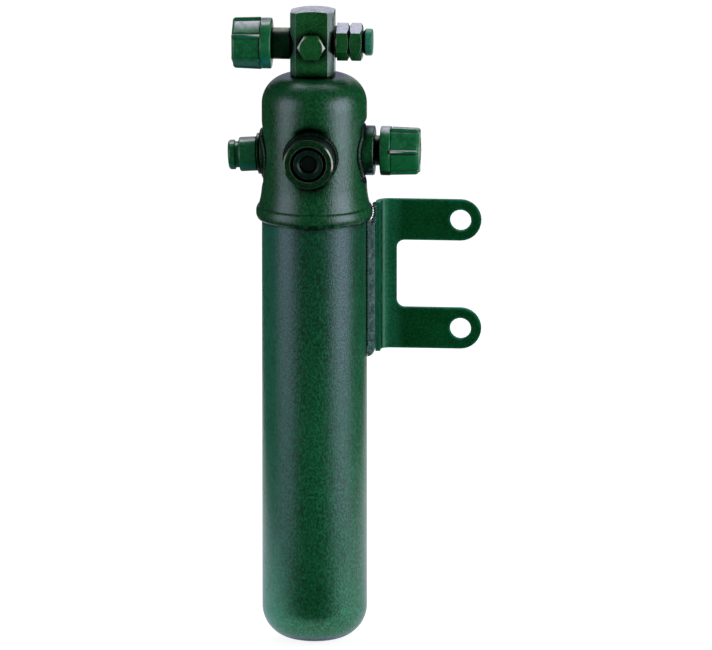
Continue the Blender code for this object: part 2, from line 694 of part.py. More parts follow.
def top_block(axis, sides, paint):
    """Machined block: crowned top, round spigot in the head, bores that meet in the middle."""
    plan = block_outline()
    block = extruded("top_block", plan, BLOCK_BASE, BLOCK_BASE + BLOCK_HEIGHT, "Z", axis, paint)
    reach = BLOCK_WIDTH / 2 - BLOCK_SHIFT + OPEN_PAST
    crown_centre = BLOCK_BASE + BLOCK_HEIGHT - BLOCK_CROWN
    crown = [(0, BLOCK_BASE - OPEN_PAST), (reach, BLOCK_BASE - OPEN_PAST)]
    for step in reversed(range(BLOCK_CROWN_STEPS + 1)):
        across = reach * step / BLOCK_CROWN_STEPS
        crown.append((across, crown_centre + math.sqrt(BLOCK_CROWN ** 2 - across ** 2)))
    combine(block, turned("block_crown_guide", crown, axis), "INTERSECT", "MANIFOLD")
    spigot_foot = BLOCK_BASE - BLOCK_SPIGOT_LENGTH
    spigot = [
        (0, spigot_foot), (BLOCK_SPIGOT_RADIUS, spigot_foot),
        (BLOCK_SPIGOT_RADIUS, BLOCK_BASE + OPEN_PAST), (0, BLOCK_BASE + OPEN_PAST),
    ]
    combine(block, turned("block_spigot_guide", spigot, axis), "UNION", "MANIFOLD")
    seat_top = spigot_foot + TUBE_SEAT_DEPTH
    seat_radius = TUBE_RADIUS + BORE_GAP
    passage = [
        (0, spigot_foot - OPEN_PAST), (seat_radius, spigot_foot - OPEN_PAST), (seat_radius, seat_top),
        (BLOCK_RISER, seat_top), (BLOCK_RISER, BLOCK_PORTS), (0, BLOCK_PORTS),
    ]
    combine(block, turned("block_riser_guide", passage, axis), solver="MANIFOLD")
    for side, face, shank in sides:
        drill(block, shank + BORE_GAP, face - BLOCK_BORE_DEPTH, face + OPEN_PAST, side, solver="MANIFOLD")
    across = BLOCK_WIDTH / 2 - BLOCK_BORE_DEPTH + OPEN_PAST
    drill(block, BLOCK_PASSAGE, -across, across, sides[0][0], solver="MANIFOLD")
    plug_side = sides[2][0]
    back = BLOCK_DEPTH / 2 - BLOCK_BORE_DEPTH + OPEN_PAST
    drill(block, BLOCK_PLUG_PASSAGE, 0.0, back, plug_side, solver="MANIFOLD")
    return block


def block_plug(side, paint, washer_metal):
    face = BLOCK_DEPTH / 2
    seat = face + WASHER_THICKNESS + 2 * SEAT_GAP
    washer_outer = PLUG_SHANK + WASHER_RIM
    washer_shape(
        "plug_washer", PLUG_SHANK + BORE_GAP, washer_outer, face + SEAT_GAP, WASHER_THICKNESS,
        side, washer_metal,
    )
    plug = hex_piece("block_plug", PLUG_FLATS, seat, PLUG_THICKNESS, side, paint, both_ends=False)
    foot = face - BLOCK_SHANK_LENGTH
    shank = [(0, foot), (PLUG_SHANK, foot), (PLUG_SHANK, seat + OPEN_PAST), (0, seat + OPEN_PAST)]
    combine(plug, turned("plug_shank_guide", shank, side), "UNION")


def relief_fitting(side, paint, washer_metal, core_metal):
    """Fitting, nut and end cap in line, with a soft core that seals the bore."""
    face = BLOCK_WIDTH / 2 + BLOCK_SHIFT
    washer_shape(
        "relief_washer", RELIEF_SHANK + BORE_GAP, RELIEF_WASHER_RADIUS, face + SEAT_GAP, WASHER_THICKNESS,
        side, washer_metal,
    )
    hex_foot = face + WASHER_THICKNESS + 2 * SEAT_GAP
    nut_foot = hex_foot + RELIEF_HEX_THICKNESS + SEAT_GAP
    nut_top = nut_foot + RELIEF_NUT_THICKNESS
    tip = nut_top + RELIEF_NOSE_REACH
    body = hex_piece(
        "relief_fitting", RELIEF_FLATS, hex_foot, RELIEF_HEX_THICKNESS, side, paint, RELIEF_TURN,
        both_ends=False,
    )
    foot = face - BLOCK_SHANK_LENGTH
    stem = [
        (0, foot), (RELIEF_SHANK, foot), (RELIEF_SHANK, nut_top - OPEN_PAST),
        (RELIEF_NOSE, nut_top - OPEN_PAST), (RELIEF_NOSE, tip), (0, tip),
    ]
    combine(body, turned("relief_stem_guide", stem, side), "UNION")
    drill(body, RELIEF_BORE, foot - OPEN_PAST, tip + OPEN_PAST, side)
    core_radius = RELIEF_BORE - BORE_GAP
    core_foot = nut_top - RELIEF_CORE_LENGTH
    core = [(0, core_foot), (core_radius, core_foot), (core_radius, nut_top), (0, nut_top)]
    turned("fusible_core", core, side, core_metal, BORE_STEPS)
    nut = hex_piece(
        "relief_nut", RELIEF_FLATS, nut_foot, RELIEF_NUT_THICKNESS, side, paint, RELIEF_TURN,
    )
    drill(nut, RELIEF_SHANK + BORE_GAP, nut_foot - OPEN_PAST, nut_top + OPEN_PAST, side)
    mouth = nut_top + SEAT_GAP
    end = mouth + RELIEF_CAP_LENGTH
    cap_bore = RELIEF_NOSE + BORE_GAP
    cap = rounded([
        (0, tip + SEAT_GAP, 0), (cap_bore, tip + SEAT_GAP, 0), (cap_bore, mouth, 0),
        (RELIEF_CAP_NECK, mouth, 0), (RELIEF_CAP_RADIUS, mouth + RELIEF_CAP_TAPER, RELIEF_CAP_EDGE),
        (RELIEF_CAP_RADIUS, end, RELIEF_CAP_ROUND), (0, end, 0),
    ], 2)
    turned("relief_cap", cap, side, paint)


# Bracket

def standoff_bar(axis, paint):
    """Bar that holds the bracket clear of the bead, its back hollowed to the can."""
    top = CAN_HEIGHT - BAR_TOP_DROP
    foot = top - BAR_LENGTH
    face = CAN_RADIUS + BAR_REACH
    deep = CAN_RADIUS / 2
    side = rounded([
        (deep, foot, 0), (face, foot, BAR_CORNER), (face, top, BAR_EDGE), (deep, top, 0),
    ])
    bar = extruded("standoff_bar", side, BAR_FRONT, BAR_FRONT + BAR_DEPTH, "Y", axis, paint)
    hollow = CAN_RADIUS + SEAT_GAP
    outline = [
        (0, foot - OPEN_PAST), (hollow, foot - OPEN_PAST), (hollow, top + OPEN_PAST), (0, top + OPEN_PAST),
    ]
    combine(bar, turned("bar_hollow_guide", outline, axis, steps=BODY_STEPS * 2))
    return bar


def bracket(axis, paint):
    """Bent sheet: flange on the bar, bend, then a plate cut to two round ears with a hole each."""
    tip = FLANGE_INSIDE + SHEET + EAR_REACH
    back = EAR_FRONT + SHEET
    plan = rounded([
        (FLANGE_INSIDE, BAR_FRONT, 0), (FLANGE_INSIDE + SHEET, BAR_FRONT, 0),
        (FLANGE_INSIDE + SHEET, EAR_FRONT, SHEET_BEND), (tip, EAR_FRONT, 0), (tip, back, 0),
        (FLANGE_INSIDE, back, SHEET_BEND + SHEET),
    ], BEND_STEPS)
    sheet = extruded("bracket", plan, BRACKET_FOOT, BRACKET_TOP, "Z", axis, paint)
    left = FLANGE_INSIDE - OPEN_PAST
    ear_round = EAR_HEIGHT / 2
    lower_ear_top = BRACKET_FOOT + EAR_HEIGHT
    upper_ear_foot = BRACKET_TOP - EAR_HEIGHT
    cut = rounded([
        (left, BRACKET_FOOT, 0), (tip, BRACKET_FOOT, ear_round), (tip, lower_ear_top, ear_round),
        (WEB_EDGE, lower_ear_top, WEB_CORNER), (WEB_EDGE, upper_ear_foot, WEB_CORNER),
        (tip, upper_ear_foot, ear_round), (tip, BRACKET_TOP, ear_round), (left, BRACKET_TOP, 0),
    ], EAR_STEPS)
    front, rear = BAR_FRONT - OPEN_PAST, back + OPEN_PAST
    combine(sheet, extruded("bracket_cut_guide", cut, front, rear, "Y", axis), "INTERSECT")
    for end, rise in (("lower", -HOLE_PITCH / 2), ("upper", HOLE_PITCH / 2)):
        hole = empty(f"bolt_hole_{end}", axis, (HOLE_X, 0, HOLE_MIDDLE + rise), (0, 1, 0))
        drill(sheet, HOLE_RADIUS, front, rear, hole, SMALL_STEPS)
    return sheet


# Inside

def inner_stack(axis, steel, felt, beads):
    """Lower plate, pad, bed, pad and upper plate around the tube."""
    hole = TUBE_RADIUS + BORE_GAP
    rim = CAN_INSIDE - BORE_GAP
    knuckle = CAN_KNUCKLE - CAN_WALL
    crown = CAN_CROWN - CAN_WALL
    ring = CAN_INSIDE - knuckle
    knuckle_centre = CAN_WALL + crown - math.sqrt((crown - knuckle) ** 2 - ring ** 2)
    seat_radius = rim + BORE_GAP - SKIRT_SEAT_GAP
    foot = knuckle_centre - math.sqrt(knuckle ** 2 - (seat_radius - ring) ** 2)
    floor = LOWER_PLATE_HEIGHT
    skirt = rim - PLATE_THICKNESS
    cup = [
        (hole, floor), (skirt, floor), (skirt, foot), (rim, foot),
        (rim, floor + PLATE_THICKNESS), (hole, floor + PLATE_THICKNESS),
    ]
    lower = turned("lower_plate", cup, axis, steel, RING_STEPS)
    punch(lower, floor, axis)
    level = floor + PLATE_THICKNESS + SEAT_GAP
    washer_shape("lower_pad", hole, rim, level, PAD_THICKNESS, axis, felt)
    level += PAD_THICKNESS + SEAT_GAP
    upper_plate_foot = CAN_HEIGHT - UPPER_PLATE_DROP
    upper_pad_foot = upper_plate_foot - SEAT_GAP - PAD_THICKNESS
    bed_height = upper_pad_foot - SEAT_GAP - level
    washer_shape("desiccant_bed", hole, rim, level, bed_height, axis, beads)
    washer_shape("upper_pad", hole, rim, upper_pad_foot, PAD_THICKNESS, axis, felt)
    upper = turned("upper_plate", [
        (hole, upper_plate_foot), (rim, upper_plate_foot),
        (rim, upper_plate_foot + PLATE_THICKNESS), (hole, upper_plate_foot + PLATE_THICKNESS),
    ], axis, steel, RING_STEPS)
    punch(upper, upper_plate_foot, axis)
    return upper_plate_foot + PLATE_THICKNESS


def punch(plate, foot, axis):
    """Rows of round holes through a plate, cut by one guide of many pins."""
    builder = bmesh.new()
    for count, row_radius in PLATE_HOLE_ROWS:
        for index in range(count):
            angle = math.tau * index / count
            made = bmesh.ops.create_cone(
                builder, cap_ends=True, segments=PUNCH_SIDES, radius1=PLATE_HOLE_RADIUS,
                radius2=PLATE_HOLE_RADIUS, depth=PLATE_THICKNESS + 2 * OPEN_PAST,
            )
            place = Vector((row_radius * math.cos(angle), row_radius * math.sin(angle), 0))
            place.z = foot + PLATE_THICKNESS / 2
            bmesh.ops.translate(builder, verts=made["verts"], vec=place)
    combine(plate, finish(builder, plate.name + "_pin_guide", axis, None))


def pickup_tube(axis, steel):
    top = BLOCK_BASE - BLOCK_SPIGOT_LENGTH + TUBE_SEAT_DEPTH - SEAT_GAP
    bore = TUBE_RADIUS - TUBE_WALL
    outline = [(bore, TUBE_FOOT_HEIGHT), (TUBE_RADIUS, TUBE_FOOT_HEIGHT), (TUBE_RADIUS, top), (bore, top)]
    return turned("pickup_tube", outline, axis, steel)


def tube_strainer(axis, steel):
    """Slotted cup pushed over the tube's foot."""
    bore = TUBE_RADIUS + BORE_GAP
    outer = bore + STRAINER_WALL
    floor = TUBE_FOOT_HEIGHT - SEAT_GAP
    foot = floor - STRAINER_WALL
    outline = [
        (0, foot), (outer, foot), (outer, foot + STRAINER_HEIGHT), (bore, foot + STRAINER_HEIGHT),
        (bore, floor), (0, floor),
    ]
    cup = turned("tube_strainer", outline, axis, steel)
    half = STRAINER_SLOT_HALF
    past = outer + OPEN_PAST
    slots_foot = floor + STRAINER_BAND
    slots_top = foot + STRAINER_HEIGHT - STRAINER_BAND
    for index in range(STRAINER_SLOTS // 2):
        plan = [(-past, -half), (past, -half), (past, half), (-past, half)]
        slot = extruded(f"strainer_slot_guide_{index}", plan, slots_foot, slots_top, "Z", axis)
        slot.rotation_euler.z = math.tau * index / STRAINER_SLOTS
        combine(cup, slot)
    return cup


def hold_down_spring(axis, foot, steel):
    """Helix with a round wire, from the upper plate to the head's roof, dead turns at both ends."""
    bottom = foot + SEAT_GAP + SPRING_WIRE
    top = HEAD_TOP - HEAD_WALL - SEAT_GAP - SPRING_WIRE
    live_turns = SPRING_TURNS - 2
    live_height = top - bottom - 2 * SPRING_DEAD_PITCH
    rings = []
    for step in range(SPRING_TURNS * SPRING_STEPS + 1):
        turns = step / SPRING_STEPS
        live = min(max(turns - 1, 0), live_turns)
        height = bottom + SPRING_DEAD_PITCH * (turns - live) + live_height * live / live_turns
        ring = []
        for side in range(SPRING_SIDES):
            angle = math.tau * side / SPRING_SIDES
            out = SPRING_RADIUS + SPRING_WIRE * math.cos(angle)
            level = height + SPRING_WIRE * math.sin(angle)
            ring.append((out * math.cos(math.tau * turns), out * math.sin(math.tau * turns), level))
        rings.append(ring)
    return lofted("hold_down_spring", rings, axis, steel)


def main():
    clear_scene()
    paint = principled("dark_paint", (0.012, 0.06, 0.032), 0.42, 0.35)
    block_paint = principled("block_finish", (0.02, 0.075, 0.045), 0.35, 0.6)
    bracket_paint = principled("bracket_paint", (0.006, 0.07, 0.04), 0.5, 0.2)
    plastic = principled("cap_plastic", (0.012, 0.07, 0.04), 0.4, 0.0)
    glass = principled("sight_glass", (0.01, 0.012, 0.015), 0.08, 0.0)
    rubber = principled("seal_rubber", (0.015, 0.015, 0.015), 0.7, 0.0)
    washer_metal = principled("washer_metal", (0.3, 0.2, 0.12), 0.4, 0.9)
    steel = principled("plain_steel", (0.45, 0.45, 0.44), 0.4, 1.0)
    core_metal = principled("core_metal", (0.5, 0.5, 0.5), 0.5, 0.9)
    felt = principled("filter_felt", (0.75, 0.73, 0.68), 0.95, 0.0)
    beads = principled("desiccant_beads", (0.72, 0.62, 0.45), 0.9, 0.0)

    axis = empty("can_axis", location=-MOUNT_POINT)
    inlet = empty("inlet_axis", axis, (0, 0, PORTS), (1, 0, 0))
    sight = empty("sight_axis", axis, (0, 0, PORTS), (0, -1, 0))
    droop_rise = HEAD_RADIUS * math.tan(SWITCH_DROOP)
    switch_way = (-math.cos(SWITCH_DROOP), 0, -math.sin(SWITCH_DROOP))
    switch = empty("switch_axis", axis, (0, 0, SWITCH_PORT + droop_rise), switch_way)
    outlet = empty("outlet_axis", axis, (0, 0, BLOCK_PORTS), (-1, 0, 0))
    relief = empty("relief_axis", axis, (0, 0, BLOCK_PORTS + RELIEF_RISE), (1, 0, 0))
    plug = empty("plug_axis", axis, (BLOCK_SHIFT, 0, BLOCK_PORTS), (0, -1, 0))

    canister(axis, paint)
    head(axis, (inlet, sight, switch), paint)
    form = head_form(SEAT_GAP, axis)
    boss("inlet_boss", BOSS_RADIUS, INLET_BOSS_REACH, inlet, form, paint)
    boss("sight_boss", BOSS_RADIUS, SIGHT_BOSS_REACH, sight, form, paint)
    boss("switch_boss", SWITCH_BOSS_RADIUS, SWITCH_BOSS_REACH, switch, form, paint)
    sight_glass(sight, paint, glass, rubber)
    inlet_seat = HEAD_RADIUS + INLET_BOSS_REACH + SEAT_GAP
    threaded_stub(
        "inlet_stub", BOSS_BORE - BORE_GAP, SHANK_LENGTH, STUB_NECK, STUB_COLLAR, inlet_seat, inlet, paint,
    )
    moulded_cap("inlet_cap", inlet_seat + STUB_COLLAR, INLET_CAP_TURN, inlet, plastic)
    switch_port(switch, paint, rubber, plastic)

    top_block(axis, (
        (outlet, BLOCK_WIDTH / 2 - BLOCK_SHIFT, STUB_THREAD),
        (relief, BLOCK_WIDTH / 2 + BLOCK_SHIFT, RELIEF_SHANK),
        (plug, BLOCK_DEPTH / 2, PLUG_SHANK),
    ), block_paint)
    outlet_seat = BLOCK_WIDTH / 2 - BLOCK_SHIFT + SEAT_GAP
    threaded_stub(
        "outlet_stub", STUB_THREAD, BLOCK_SHANK_LENGTH, OUTLET_NECK, OUTLET_NECK_LENGTH,
        outlet_seat, outlet, block_paint,
    )
    moulded_cap("outlet_cap", outlet_seat + OUTLET_NECK_LENGTH, OUTLET_CAP_TURN, outlet, plastic)
    block_plug(plug, block_paint, washer_metal)
    relief_fitting(relief, block_paint, washer_metal, core_metal)

    standoff_bar(axis, paint)
    bracket(axis, bracket_paint)

    plate_top = inner_stack(axis, steel, felt, beads)
    pickup_tube(axis, steel)
    tube_strainer(axis, steel)
    hold_down_spring(axis, plate_top, steel)


main()
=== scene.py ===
import math

import bmesh
import bpy
import numpy as np
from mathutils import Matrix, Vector


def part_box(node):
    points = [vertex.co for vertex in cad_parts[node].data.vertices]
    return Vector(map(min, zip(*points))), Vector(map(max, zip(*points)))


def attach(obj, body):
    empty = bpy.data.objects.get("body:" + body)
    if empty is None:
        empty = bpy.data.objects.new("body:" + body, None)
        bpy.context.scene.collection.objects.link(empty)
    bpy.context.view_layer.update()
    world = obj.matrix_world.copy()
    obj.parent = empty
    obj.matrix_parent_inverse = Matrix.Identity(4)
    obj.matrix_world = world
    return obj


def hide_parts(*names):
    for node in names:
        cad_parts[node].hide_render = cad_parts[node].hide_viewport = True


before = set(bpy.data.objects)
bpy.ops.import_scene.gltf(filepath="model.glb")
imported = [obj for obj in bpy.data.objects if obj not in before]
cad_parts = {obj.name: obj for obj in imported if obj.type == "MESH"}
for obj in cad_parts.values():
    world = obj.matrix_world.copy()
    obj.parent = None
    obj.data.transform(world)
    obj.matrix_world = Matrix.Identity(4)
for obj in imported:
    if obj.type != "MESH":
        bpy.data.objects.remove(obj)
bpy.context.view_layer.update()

mm = 0.001
print("frame loaded:", len(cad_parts), "nodes")


# Places, all read from the frame

def nodeBox(node):
    low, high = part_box(node)
    return np.array(low), np.array(high)


def nodePoints(node):
    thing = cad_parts[node]
    points = np.empty(len(thing.data.vertices) * 3)
    thing.data.vertices.foreach_get("co", points)
    turn = np.array(thing.matrix_world)
    return points.reshape(-1, 3) @ turn[:3, :3].T + turn[:3, 3]


canLow, canHigh = nodeBox("canister")
axisX, axisY = (canLow[:2] + canHigh[:2]) / 2
canFoot, canMouth = canLow[2], canHigh[2]
canRadius = (canHigh[0] - canLow[0]) / 2
headTop = nodeBox("head")[1][2]


# An axis to turn or stack a piece on: its start beside the can's axis, out along the port, sideways and up
def portAxis(node, way, droop=0.0):
    way = np.array(way, float)
    side = np.cross([0.0, 0.0, 1.0], way)
    out = way * math.cos(droop) - np.array([0.0, 0.0, math.sin(droop)])
    up = np.cross(out, side)
    foot = np.array([axisX, axisY, 0.0])
    away = nodePoints(node) - foot
    across, rise = away @ side, away @ up
    start = foot + side * (across.min() + across.max()) / 2
    start[2] = (rise.min() + rise.max()) / 2 / up[2]
    return {"start": start, "out": out, "side": side, "up": up}


uprightAxis = {
    "start": np.array([axisX, axisY, canFoot]), "out": np.array([0.0, 0.0, 1.0]),
    "side": np.array([1.0, 0.0, 0.0]), "up": np.array([0.0, 1.0, 0.0]),
}
inletAxis = portAxis("inlet_boss", (1, 0, 0))
sightAxis = portAxis("sight_body", (0, -1, 0))
switchAxis = portAxis("switch_port", (-1, 0, 0), math.radians(3.5))
outletAxis = portAxis("outlet_stub", (-1, 0, 0))
reliefAxis = portAxis("relief_washer", (1, 0, 0))
plugAxis = portAxis("plug_washer", (0, -1, 0))


# Where a node starts and ends along an axis, and its radius across it
def nodeReach(node, axis):
    away = nodePoints(node) - axis["start"]
    along = away @ axis["out"]
    across = np.linalg.norm(away - along[:, None] * axis["out"], axis=1)
    return along.min(), along.max(), across.max()


sightFront = -nodeBox("sight_body")[0][1]


# Shader nodes

def addNode(tree, kind, settings=None, values=None):
    node = tree.nodes.new(kind)
    for name, value in (settings or {}).items():
        setattr(node, name, value)
    for name, value in (values or {}).items():
        setSocket(tree, node.inputs[name], value)
    return node


# An input's kind follows from the number of values in its default; an output is a number, but for Colour
socketKinds = {1: "NodeSocketFloat", 3: "NodeSocketVector", 4: "NodeSocketColor"}


def newGroup(name, inputs, outputs):
    group = bpy.data.node_groups.new(name, "ShaderNodeTree")
    for socketName, value in inputs.items():
        socket = group.interface.new_socket(socketName, in_out="INPUT", socket_type=socketKinds[np.size(value)])
        socket.default_value = value
    for socketName in outputs:
        kind = "NodeSocketColor" if socketName == "Colour" else "NodeSocketFloat"
        group.interface.new_socket(socketName, in_out="OUTPUT", socket_type=kind)
    return group, group.nodes.new("NodeGroupInput").outputs, group.nodes.new("NodeGroupOutput").inputs


# Links a socket to another one, or gives it a value; a colour may leave out its alpha
def setSocket(tree, socket, value):
    if isinstance(value, bpy.types.NodeSocket):
        tree.links.new(value, socket)
    elif socket.type == "RGBA" and len(value) == 3:
        socket.default_value = (*value, 1)
    else:
        socket.default_value = value


def objectPlace(tree):
    return addNode(tree, "ShaderNodeTexCoord").outputs["Object"]


def trueNormal(tree):
    return addNode(tree, "ShaderNodeNewGeometry").outputs["Normal"]


def vectorNode(tree, operation, first, second):
    node = addNode(tree, "ShaderNodeVectorMath", {"operation": operation})
    setSocket(tree, node.inputs[0], first)
    setSocket(tree, node.inputs[1], second)
    return node.outputs["Value" if operation == "DOT_PRODUCT" else "Vector"]


def mathNode(tree, operation, first, second=0.0, clamp=False):
    node = addNode(tree, "ShaderNodeMath", {"operation": operation, "use_clamp": clamp})
    setSocket(tree, node.inputs[0], first)
    setSocket(tree, node.inputs[1], second)
    return node.outputs[0]


# Spreads a value between two limits out to 0 and 1
def spread(tree, value, low, high):
    values = {"Value": value, "From Min": low, "From Max": high}
    return addNode(tree, "ShaderNodeMapRange", {"clamp": True}, values).outputs["Result"]


def noiseNode(tree, place, size, detail, roughness, distortion=0.0):
    values = {"Vector": place, "Scale": size, "Detail": detail, "Roughness": roughness, "Distortion": distortion}
    return addNode(tree, "ShaderNodeTexNoise", values=values).outputs["Fac"]


def mixNode(tree, factor, first, second):
    mix = addNode(tree, "ShaderNodeMix", {"data_type": "RGBA"})
    colourInputs = [socket for socket in mix.inputs if socket.type == "RGBA"]
    setSocket(tree, mix.inputs[0], factor)
    setSocket(tree, colourInputs[0], first)
    setSocket(tree, colourInputs[1], second)
    return [socket for socket in mix.outputs if socket.type == "RGBA"][0]


# The colour of a group that is given none
someGreen = (0.01, 0.05, 0.02, 1)


# Coat grain: fine specks and broad patches shift the colour and the roughness
def makeCoatGrain():
    group, given, made = newGroup("coatGrain", {
        "Colour": someGreen, "Speck Colour": (0.05, 0.1, 0.08, 1),
        "Speck Size": 900.0, "Patch Size": 60.0, "Speck Amount": 0.4, "Patch Amount": 0.3,
        "Roughness": 0.4, "Roughness Spread": 0.1, "Stretch": (1, 1, 1),
    }, ("Colour", "Roughness", "Height"))
    place = vectorNode(group, "MULTIPLY", objectPlace(group), given["Stretch"])
    speck = noiseNode(group, place, given["Speck Size"], 3.0, 0.65)
    patch = noiseNode(group, place, given["Patch Size"], 4.0, 0.55, 0.4)
    speckMask = mathNode(group, "MULTIPLY", spread(group, speck, 0.42, 0.72), given["Speck Amount"])
    patchMask = mathNode(group, "MULTIPLY", spread(group, patch, 0.38, 0.68), given["Patch Amount"])
    mask = mathNode(group, "ADD", speckMask, patchMask, True)
    swing = mathNode(group, "MULTIPLY", mathNode(group, "SUBTRACT", patch, 0.5), given["Roughness Spread"])
    group.links.new(mixNode(group, mask, given["Colour"], given["Speck Colour"]), made["Colour"])
    group.links.new(mathNode(group, "ADD", given["Roughness"], swing, True), made["Roughness"])
    group.links.new(speck, made["Height"])
    return group


# Ends a group that lays a second colour over the first one where its mask is
def coverColour(group, given, made, mask, cover):
    group.links.new(mask, made["Mask"])
    group.links.new(mixNode(group, mask, given["Colour"], given[cover]), made["Colour"])
    return group


# Edge rub and highlight: where the rounded normal leaves the true one, broken up by noise, the coat is thin and the
# edge takes a painted highlight
def makeEdgeRubAndHighlight():
    group, given, made = newGroup("edgeRubAndHighlight", {
        "Colour": someGreen, "Rub And Highlight Colour": (0.1, 0.3, 0.25, 1), "Amount": 0.8, "Width": 0.8 * mm,
        "Break Size": 250.0,
    }, ("Colour", "Mask"))
    bevel = addNode(group, "ShaderNodeBevel", {"samples": 6}, {"Radius": given["Width"]})
    meet = vectorNode(group, "DOT_PRODUCT", bevel.outputs["Normal"], trueNormal(group))
    edge = spread(group, mathNode(group, "SUBTRACT", 1.0, meet), 0.015, 0.16)
    noise = noiseNode(group, objectPlace(group), given["Break Size"], 4.0, 0.6)
    broken = mathNode(group, "MULTIPLY", edge, spread(group, noise, 0.3, 0.6))
    mask = mathNode(group, "MULTIPLY", broken, given["Amount"], True)
    return coverColour(group, given, made, mask, "Rub And Highlight Colour")


# Fade: a value that goes from 0 to 1 between two places along a direction
def makeFade():
    group, given, made = newGroup("fade", {"Foot": -0.2, "Top": 0.1, "Way": (0, 0, 1)}, ("Fade",))
    along = vectorNode(group, "DOT_PRODUCT", objectPlace(group), given["Way"])
    group.links.new(spread(group, along, given["Foot"], given["Top"]), made["Fade"])
    return group


# Crevice shade: painted shade, dark in hollows and corners, from how much of the near space is shut off
def makeCreviceShade():
    group, given, made = newGroup("creviceShade", {
        "Colour": someGreen, "Shade Colour": (0, 0.004, 0.002, 1), "Reach": 6 * mm, "Amount": 0.9, "Full": 0.5,
    }, ("Colour", "Mask"))
    shut = addNode(group, "ShaderNodeAmbientOcclusion", {"samples": 8}, {"Distance": given["Reach"]})
    hollow = spread(group, mathNode(group, "SUBTRACT", 1.0, shut.outputs["AO"]), 0.07, given["Full"])
    mask = mathNode(group, "MULTIPLY", hollow, given["Amount"], True)
    return coverColour(group, given, made, mask, "Shade Colour")


# Facing dust and light: a film, pale by default, where the surface faces a given way, up as a rule, thinned out by
# noise; it lays dust on tops, and painted highlights and painted shade on the sides it is aimed at
def makeFacingDustAndLight():
    group, given, made = newGroup("facingDustAndLight", {
        "Colour": someGreen, "Dust And Light Colour": (0.5, 0.5, 0.6, 1), "Amount": 0.7, "Start": 0.75, "Full": 0.97,
        "Stop": 2.0, "Size": 260.0, "Way": (0, 0, 1),
    }, ("Colour", "Mask"))
    meet = vectorNode(group, "DOT_PRODUCT", trueNormal(group), given["Way"])
    past = spread(group, mathNode(group, "SUBTRACT", meet, given["Stop"]), 0.0, 0.03)
    rising = spread(group, meet, given["Start"], given["Full"])
    facing = mathNode(group, "MULTIPLY", rising, mathNode(group, "SUBTRACT", 1.0, past))
    noise = noiseNode(group, objectPlace(group), given["Size"], 5.0, 0.65)
    thinned = mathNode(group, "MULTIPLY", facing, spread(group, noise, 0.2, 0.55))
    mask = mathNode(group, "MULTIPLY", thinned, given["Amount"], True)
    return coverColour(group, given, made, mask, "Dust And Light Colour")


# Shine: how much of the gloss is left, less where the surface faces down and in hollows, as painted shade
def makeShine():
    group, given, made = newGroup("shine", {"Hollow": 0.0, "Amount": 0.9, "Under": 0.1}, ("Weight",))
    split = addNode(group, "ShaderNodeSeparateXYZ", values={"Vector": trueNormal(group)})
    upper = spread(group, split.outputs["Z"], -0.45, -0.15)
    share = mathNode(group, "MAXIMUM", upper, given["Under"])
    clear = mathNode(group, "SUBTRACT", 1.0, given["Hollow"], True)
    weight = mathNode(group, "MULTIPLY", mathNode(group, "MULTIPLY", share, clear), given["Amount"], True)
    group.links.new(weight, made["Weight"])
    return group


coatGrain = makeCoatGrain()
shine = makeShine()
creviceShade = makeCreviceShade()
facingDustAndLight = makeFacingDustAndLight()
edgeRubAndHighlight = makeEdgeRubAndHighlight()
fadeAlong = makeFade()


def placeGroup(tree, group, values):
    return addNode(tree, "ShaderNodeGroup", {"node_tree": group}, values)


def fadeBetween(tree, foot, top, way):
    return placeGroup(tree, fadeAlong, {"Foot": foot, "Top": top, "Way": way}).outputs["Fade"]


def startMaterial(name, plain):
    material = bpy.data.materials.new(name)
    material.use_nodes = True
    tree = material.node_tree
    shader = tree.nodes["Principled BSDF"]
    for socketName, value in plain.items():
        setSocket(tree, shader.inputs[socketName], value)
    return material, tree, shader


def bumpNormal(tree, shader, height, strength, distance):
    values = {"Height": height, "Strength": strength, "Distance": distance}
    tree.links.new(addNode(tree, "ShaderNodeBump", values=values).outputs["Normal"], shader.inputs["Normal"])


# The grain's settings: the sizes of its specks and patches, how much shows, and its stretch
def specks(size, patchSize, amount, patchAmount=0.3, stretch=(1, 1, 1)):
    return {
        "Speck Size": size, "Patch Size": patchSize, "Speck Amount": amount, "Patch Amount": patchAmount,
        "Stretch": stretch,
    }


# A dust-and-light film's settings: its colour, its most, and from which cosine to its way it starts and is full
def dustAndLightFilm(colour, amount, start, full, way=(0, 0, 1), stop=2.0):
    return {"Dust And Light Colour": colour, "Amount": amount, "Start": start, "Full": full, "Way": way, "Stop": stop}


# The settings of the thin coat and painted highlight on edges, and of the painted shade in hollows
def rubAndHighlight(colour, amount, width):
    return {"Rub And Highlight Colour": colour, "Amount": amount, "Width": width}


def hollowShade(reach, amount=1.0, full=0.5):
    return {"Reach": reach, "Amount": amount, "Full": full}


# What a look has where it names nothing else
usualLook = {"roughnessSpread": 0.15, "dustAndLightFilms": (), "crestWidth": 0.25 * mm, "underStart": 0.15, "underFull": 0.55}


# Painted shade on the gloss: how much of the shine is lost in hollows, under a piece and towards the can's foot
def shadeMask(tree, look, hollow, under):
    shade = hollow
    if under is not None:
        shade = mathNode(tree, "MAXIMUM", shade, under)
    if "footReach" in look:
        low = fadeBetween(tree, -canFoot - look["footReach"], -canFoot, (0, 0, -1))
        shade = mathNode(tree, "MAXIMUM", shade, mathNode(tree, "MULTIPLY", low, look["footAmount"]))
    return shade
